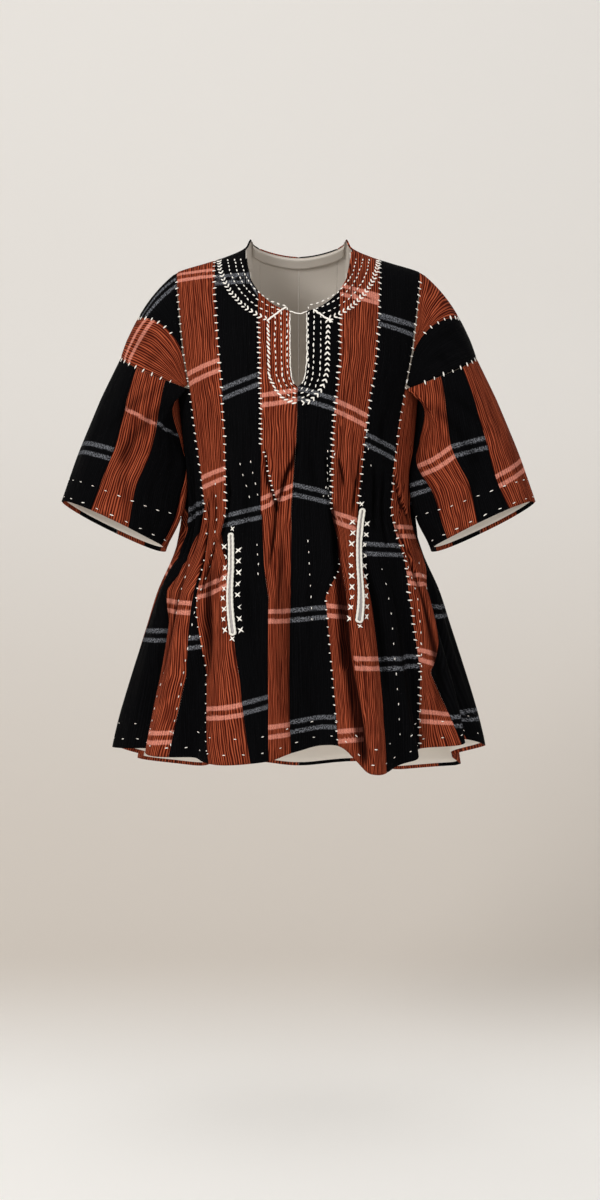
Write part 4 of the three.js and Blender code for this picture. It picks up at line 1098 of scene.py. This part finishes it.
crossRows = []
h = pocketLook["half"]
for label, p in pockets.items():
    # two-ply cord along a loop with round ends
    straight = np.linspace(p["top"], p["bottom"], 90)
    lean = np.linspace(0, np.pi, 12)[1:-1]
    pathZ = np.concatenate([straight, p["bottom"] - h * np.sin(lean),
                            straight[::-1], p["top"] + h * np.sin(lean)])
    pathAcross = np.concatenate([np.full(90, -h), -h * np.cos(lean), np.full(90, h), h * np.cos(lean)])
    middle, normal = bodySkin(pocketTurn(p, pathZ, pathAcross), pathZ)
    middle = middle + normal * pocketLook["lift"]
    forward = unit(np.roll(middle, -1, axis=0) - np.roll(middle, 1, axis=0))
    across = unit(np.cross(normal, forward))
    run = runOf(middle)
    turns = np.round(run[-1] / pocketLook["twist"]) / run[-1]
    angle = np.linspace(0, 2 * np.pi, 12, endpoint=False)[None, :]
    ply = 1 + 0.14 * np.cos(2 * angle - 2 * np.pi * turns * run[:, None])
    rim = (across[:, None] * np.cos(angle)[..., None] + normal[:, None] * np.sin(angle)[..., None])
    tube = middle[:, None] + rim * (pocketLook["cord"] * 0.94 * ply)[..., None]
    count, sides = tube.shape[:2]
    a = np.arange(count * sides).reshape(count, sides)
    b, c = np.roll(a, -1, axis=0), np.roll(a, -1, axis=1)
    d = np.roll(b, -1, axis=1)
    faces = np.stack([a, c, d, b], axis=-1).reshape(-1, 4)
    obj = addMesh(f"pocket_cord_{label}_twisted", tube.reshape(-1, 3), faces.tolist(), [cordWhite])
    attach(obj, "root")
    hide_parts(f"pocket_cord_{label}")
    # pale cloth inside the slit
    level = np.linspace(p["top"] + 1, p["bottom"] - 1, 40)[:, None]
    bulge, out = bodySkin(pocketTurn(p, level, np.linspace(-h, h, 5)[None, :]), level + np.zeros((1, 5)))
    front, back = bulge + out * pocketLook["lining"], bulge + out * 0.2
    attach(shell(f"pocket_lining_{label}", front, back, [liningWhite]), "root")
    # crosses down both sides and over both ends
    for offset, first, last in ((-9, -6, 4), (8.5, -8, 3)):
        z = np.linspace(p["top"] + first, p["bottom"] - last, 40)
        place, forward, out = spaced(pocketTurn(p, z, offset), z, pocketLook["crossPitch"])
        crosses(crossRows, (place + dice.normal(0, 0.5, place.shape), forward, out), pocketLook["cross"])
    for level in (p["top"] + 7, p["bottom"] - 7.5):
        z = np.linspace(level + 2, level - 2, 6)
        path = [values[:1] for values in spaced(pocketTurn(p, z, 0), z, 3)]
        crosses(crossRows, path, pocketLook["endCross"])
addStitches("pocketStitches", crossRows)

# sparse running stitches on the body: turn and height at both ends, pitch
sparseRows = [
    (-43, -240, -42, -530, 13), (3.5, -300, 4.5, -395, 11), (12, -205, 13, -262, 8), (16, -208, 10, -262, 9),
    (-22, -215, -17.5, -262, 12), (-28, -218, -22, -265, 10), (-18, -305, -15, -345, 9),
    (38, -330, 34, -520, 15), (31, -180, 36, -235, 16), (-57, -330, -52, -520, 13), (58, -300, 50, -510, 12),
    (72, -330, 63, -520, 14),
]
looseRows = []
for firstTurn, firstZ, lastTurn, lastZ, pitch in sparseRows:
    z = np.linspace(firstZ, lastZ, 60)
    running(looseRows, spaced(np.linspace(firstTurn, lastTurn, 60), z, pitch), 2.8, 1.0)
for above, pitch in ((10, 21), (27, 30)):
    turn = np.linspace(-88, 270, 900)
    running(looseRows, spaced(turn, hemZ(turn) + above, pitch), 3.4, 1.0)
addStitches("looseStitches", looseRows)

# sleeves: seam below the cap, middle seam of the cap, and rows at the cuff
sleeveStitchRows = []
for side in (-1, 1):
    around = np.linspace(-82, 82, 120) / 90 * corner
    armhole = spacedOn(*sleeveSkin(side, around, np.full_like(around, -0.004)), 10.5)
    whip(sleeveStitchRows, armhole, 5.0, 1.5, 84)
    around = np.linspace(-60, 60, 120) / 90 * corner
    whip(sleeveStitchRows, spacedOn(*sleeveSkin(side, around, capSeam(around)), 9.5), 5.0, 1.6)
    for t, pitch in ((0.8, 15), (0.965, 17)):
        around = np.linspace(-178, 178, 200)
        running(sleeveStitchRows, spacedOn(*sleeveSkin(side, around, np.full_like(around, t)), pitch), 4.2, 1.0)
addStitches("sleeveStitches", sleeveStitchRows)
print("stitches sewn")


# ---- floor, backdrop and light ----
# the middle stage colour is painted shade, a band where the floor curves up into the wall
stageLook = {"floor": -0.98, "back": 1.6, "curve": 0.9, "near": paint(250, 248, 245),
             "paintedShadeBand": paint(219, 211, 202), "high": paint(239, 236, 232), "half": 4.0}
profile = [(-6.0, stageLook["floor"])]
for lean in np.linspace(0, np.pi / 2, 16):
    profile.append((stageLook["back"] - stageLook["curve"] + stageLook["curve"] * np.sin(lean),
                    stageLook["floor"] + stageLook["curve"] * (1 - np.cos(lean))))
profile.append((stageLook["back"], 4.0))
half = stageLook["half"]
points = [(x * 1000, y * 1000, z * 1000) for y, z in profile for x in (-half, half)]
faces = [(2 * k, 2 * k + 1, 2 * k + 3, 2 * k + 2) for k in range(len(profile) - 1)]
stageMaterial, tree, shader = newMaterial("paleBackdrop", stageLook["high"], 0.9)
place = feed(tree, node(tree, "ShaderNodeSeparateXYZ"), {0: node(tree, "ShaderNodeTexCoord").outputs["Object"]})
# painted shade: the floor darkens going back into a band of shade at the foot of the curve, then the wall
# lightens above it
colour = mix(tree, ranged(tree, place[1], 0.0, 0.75), stageLook["near"], stageLook["paintedShadeBand"])
colour = mix(tree, ranged(tree, place[2], -0.98, -0.15), colour, stageLook["high"])
feed(tree, shader, {"Base Color": colour})
# seen from behind, the backdrop lets the garment show
chosen = feed(tree, node(tree, "ShaderNodeMixShader"), {
    0: node(tree, "ShaderNodeNewGeometry").outputs["Backfacing"], 1: shader.outputs[0],
    2: node(tree, "ShaderNodeBsdfTransparent").outputs[0]})
feed(tree, tree.nodes["Material Output"], {"Surface": chosen[0]})
addMesh("floorAndBackdrop", points, faces, [stageMaterial])

lights = [   # name, place, aim height, size, power, colour
    ("keyLight", (-1.9, -2.5, 1.25), -0.32, 1.2, 52, (1, 0.985, 0.96)),
    ("fillLight", (1.5, -2.9, -0.1), -0.4, 2.0, 13, (1, 1, 1)),
    ("topLight", (0.0, -0.2, 2.4), -0.3, 2.2, 14, (1, 1, 1)),
]
for name, place, aim, size, power, colour in lights:
    lamp = bpy.data.lights.new(name, "AREA")
    lamp.shape = "DISK"
    lamp.size = size
    lamp.energy = power
    lamp.color = colour
    obj = bpy.data.objects.new(name, lamp)
    obj.location = place
    obj.rotation_euler = (Vector((0, 0, aim)) - Vector(place)).to_track_quat("-Z", "Y").to_euler()
    scene.collection.objects.link(obj)
worldLook = {0: (1, 0.995, 0.985, 1), 1: 0.5}   # colour and strength
world = bpy.data.worlds.new("studio")
world.use_nodes = True
feed(world.node_tree, world.node_tree.nodes["Background"], worldLook)
scene.world = world
print("light set")
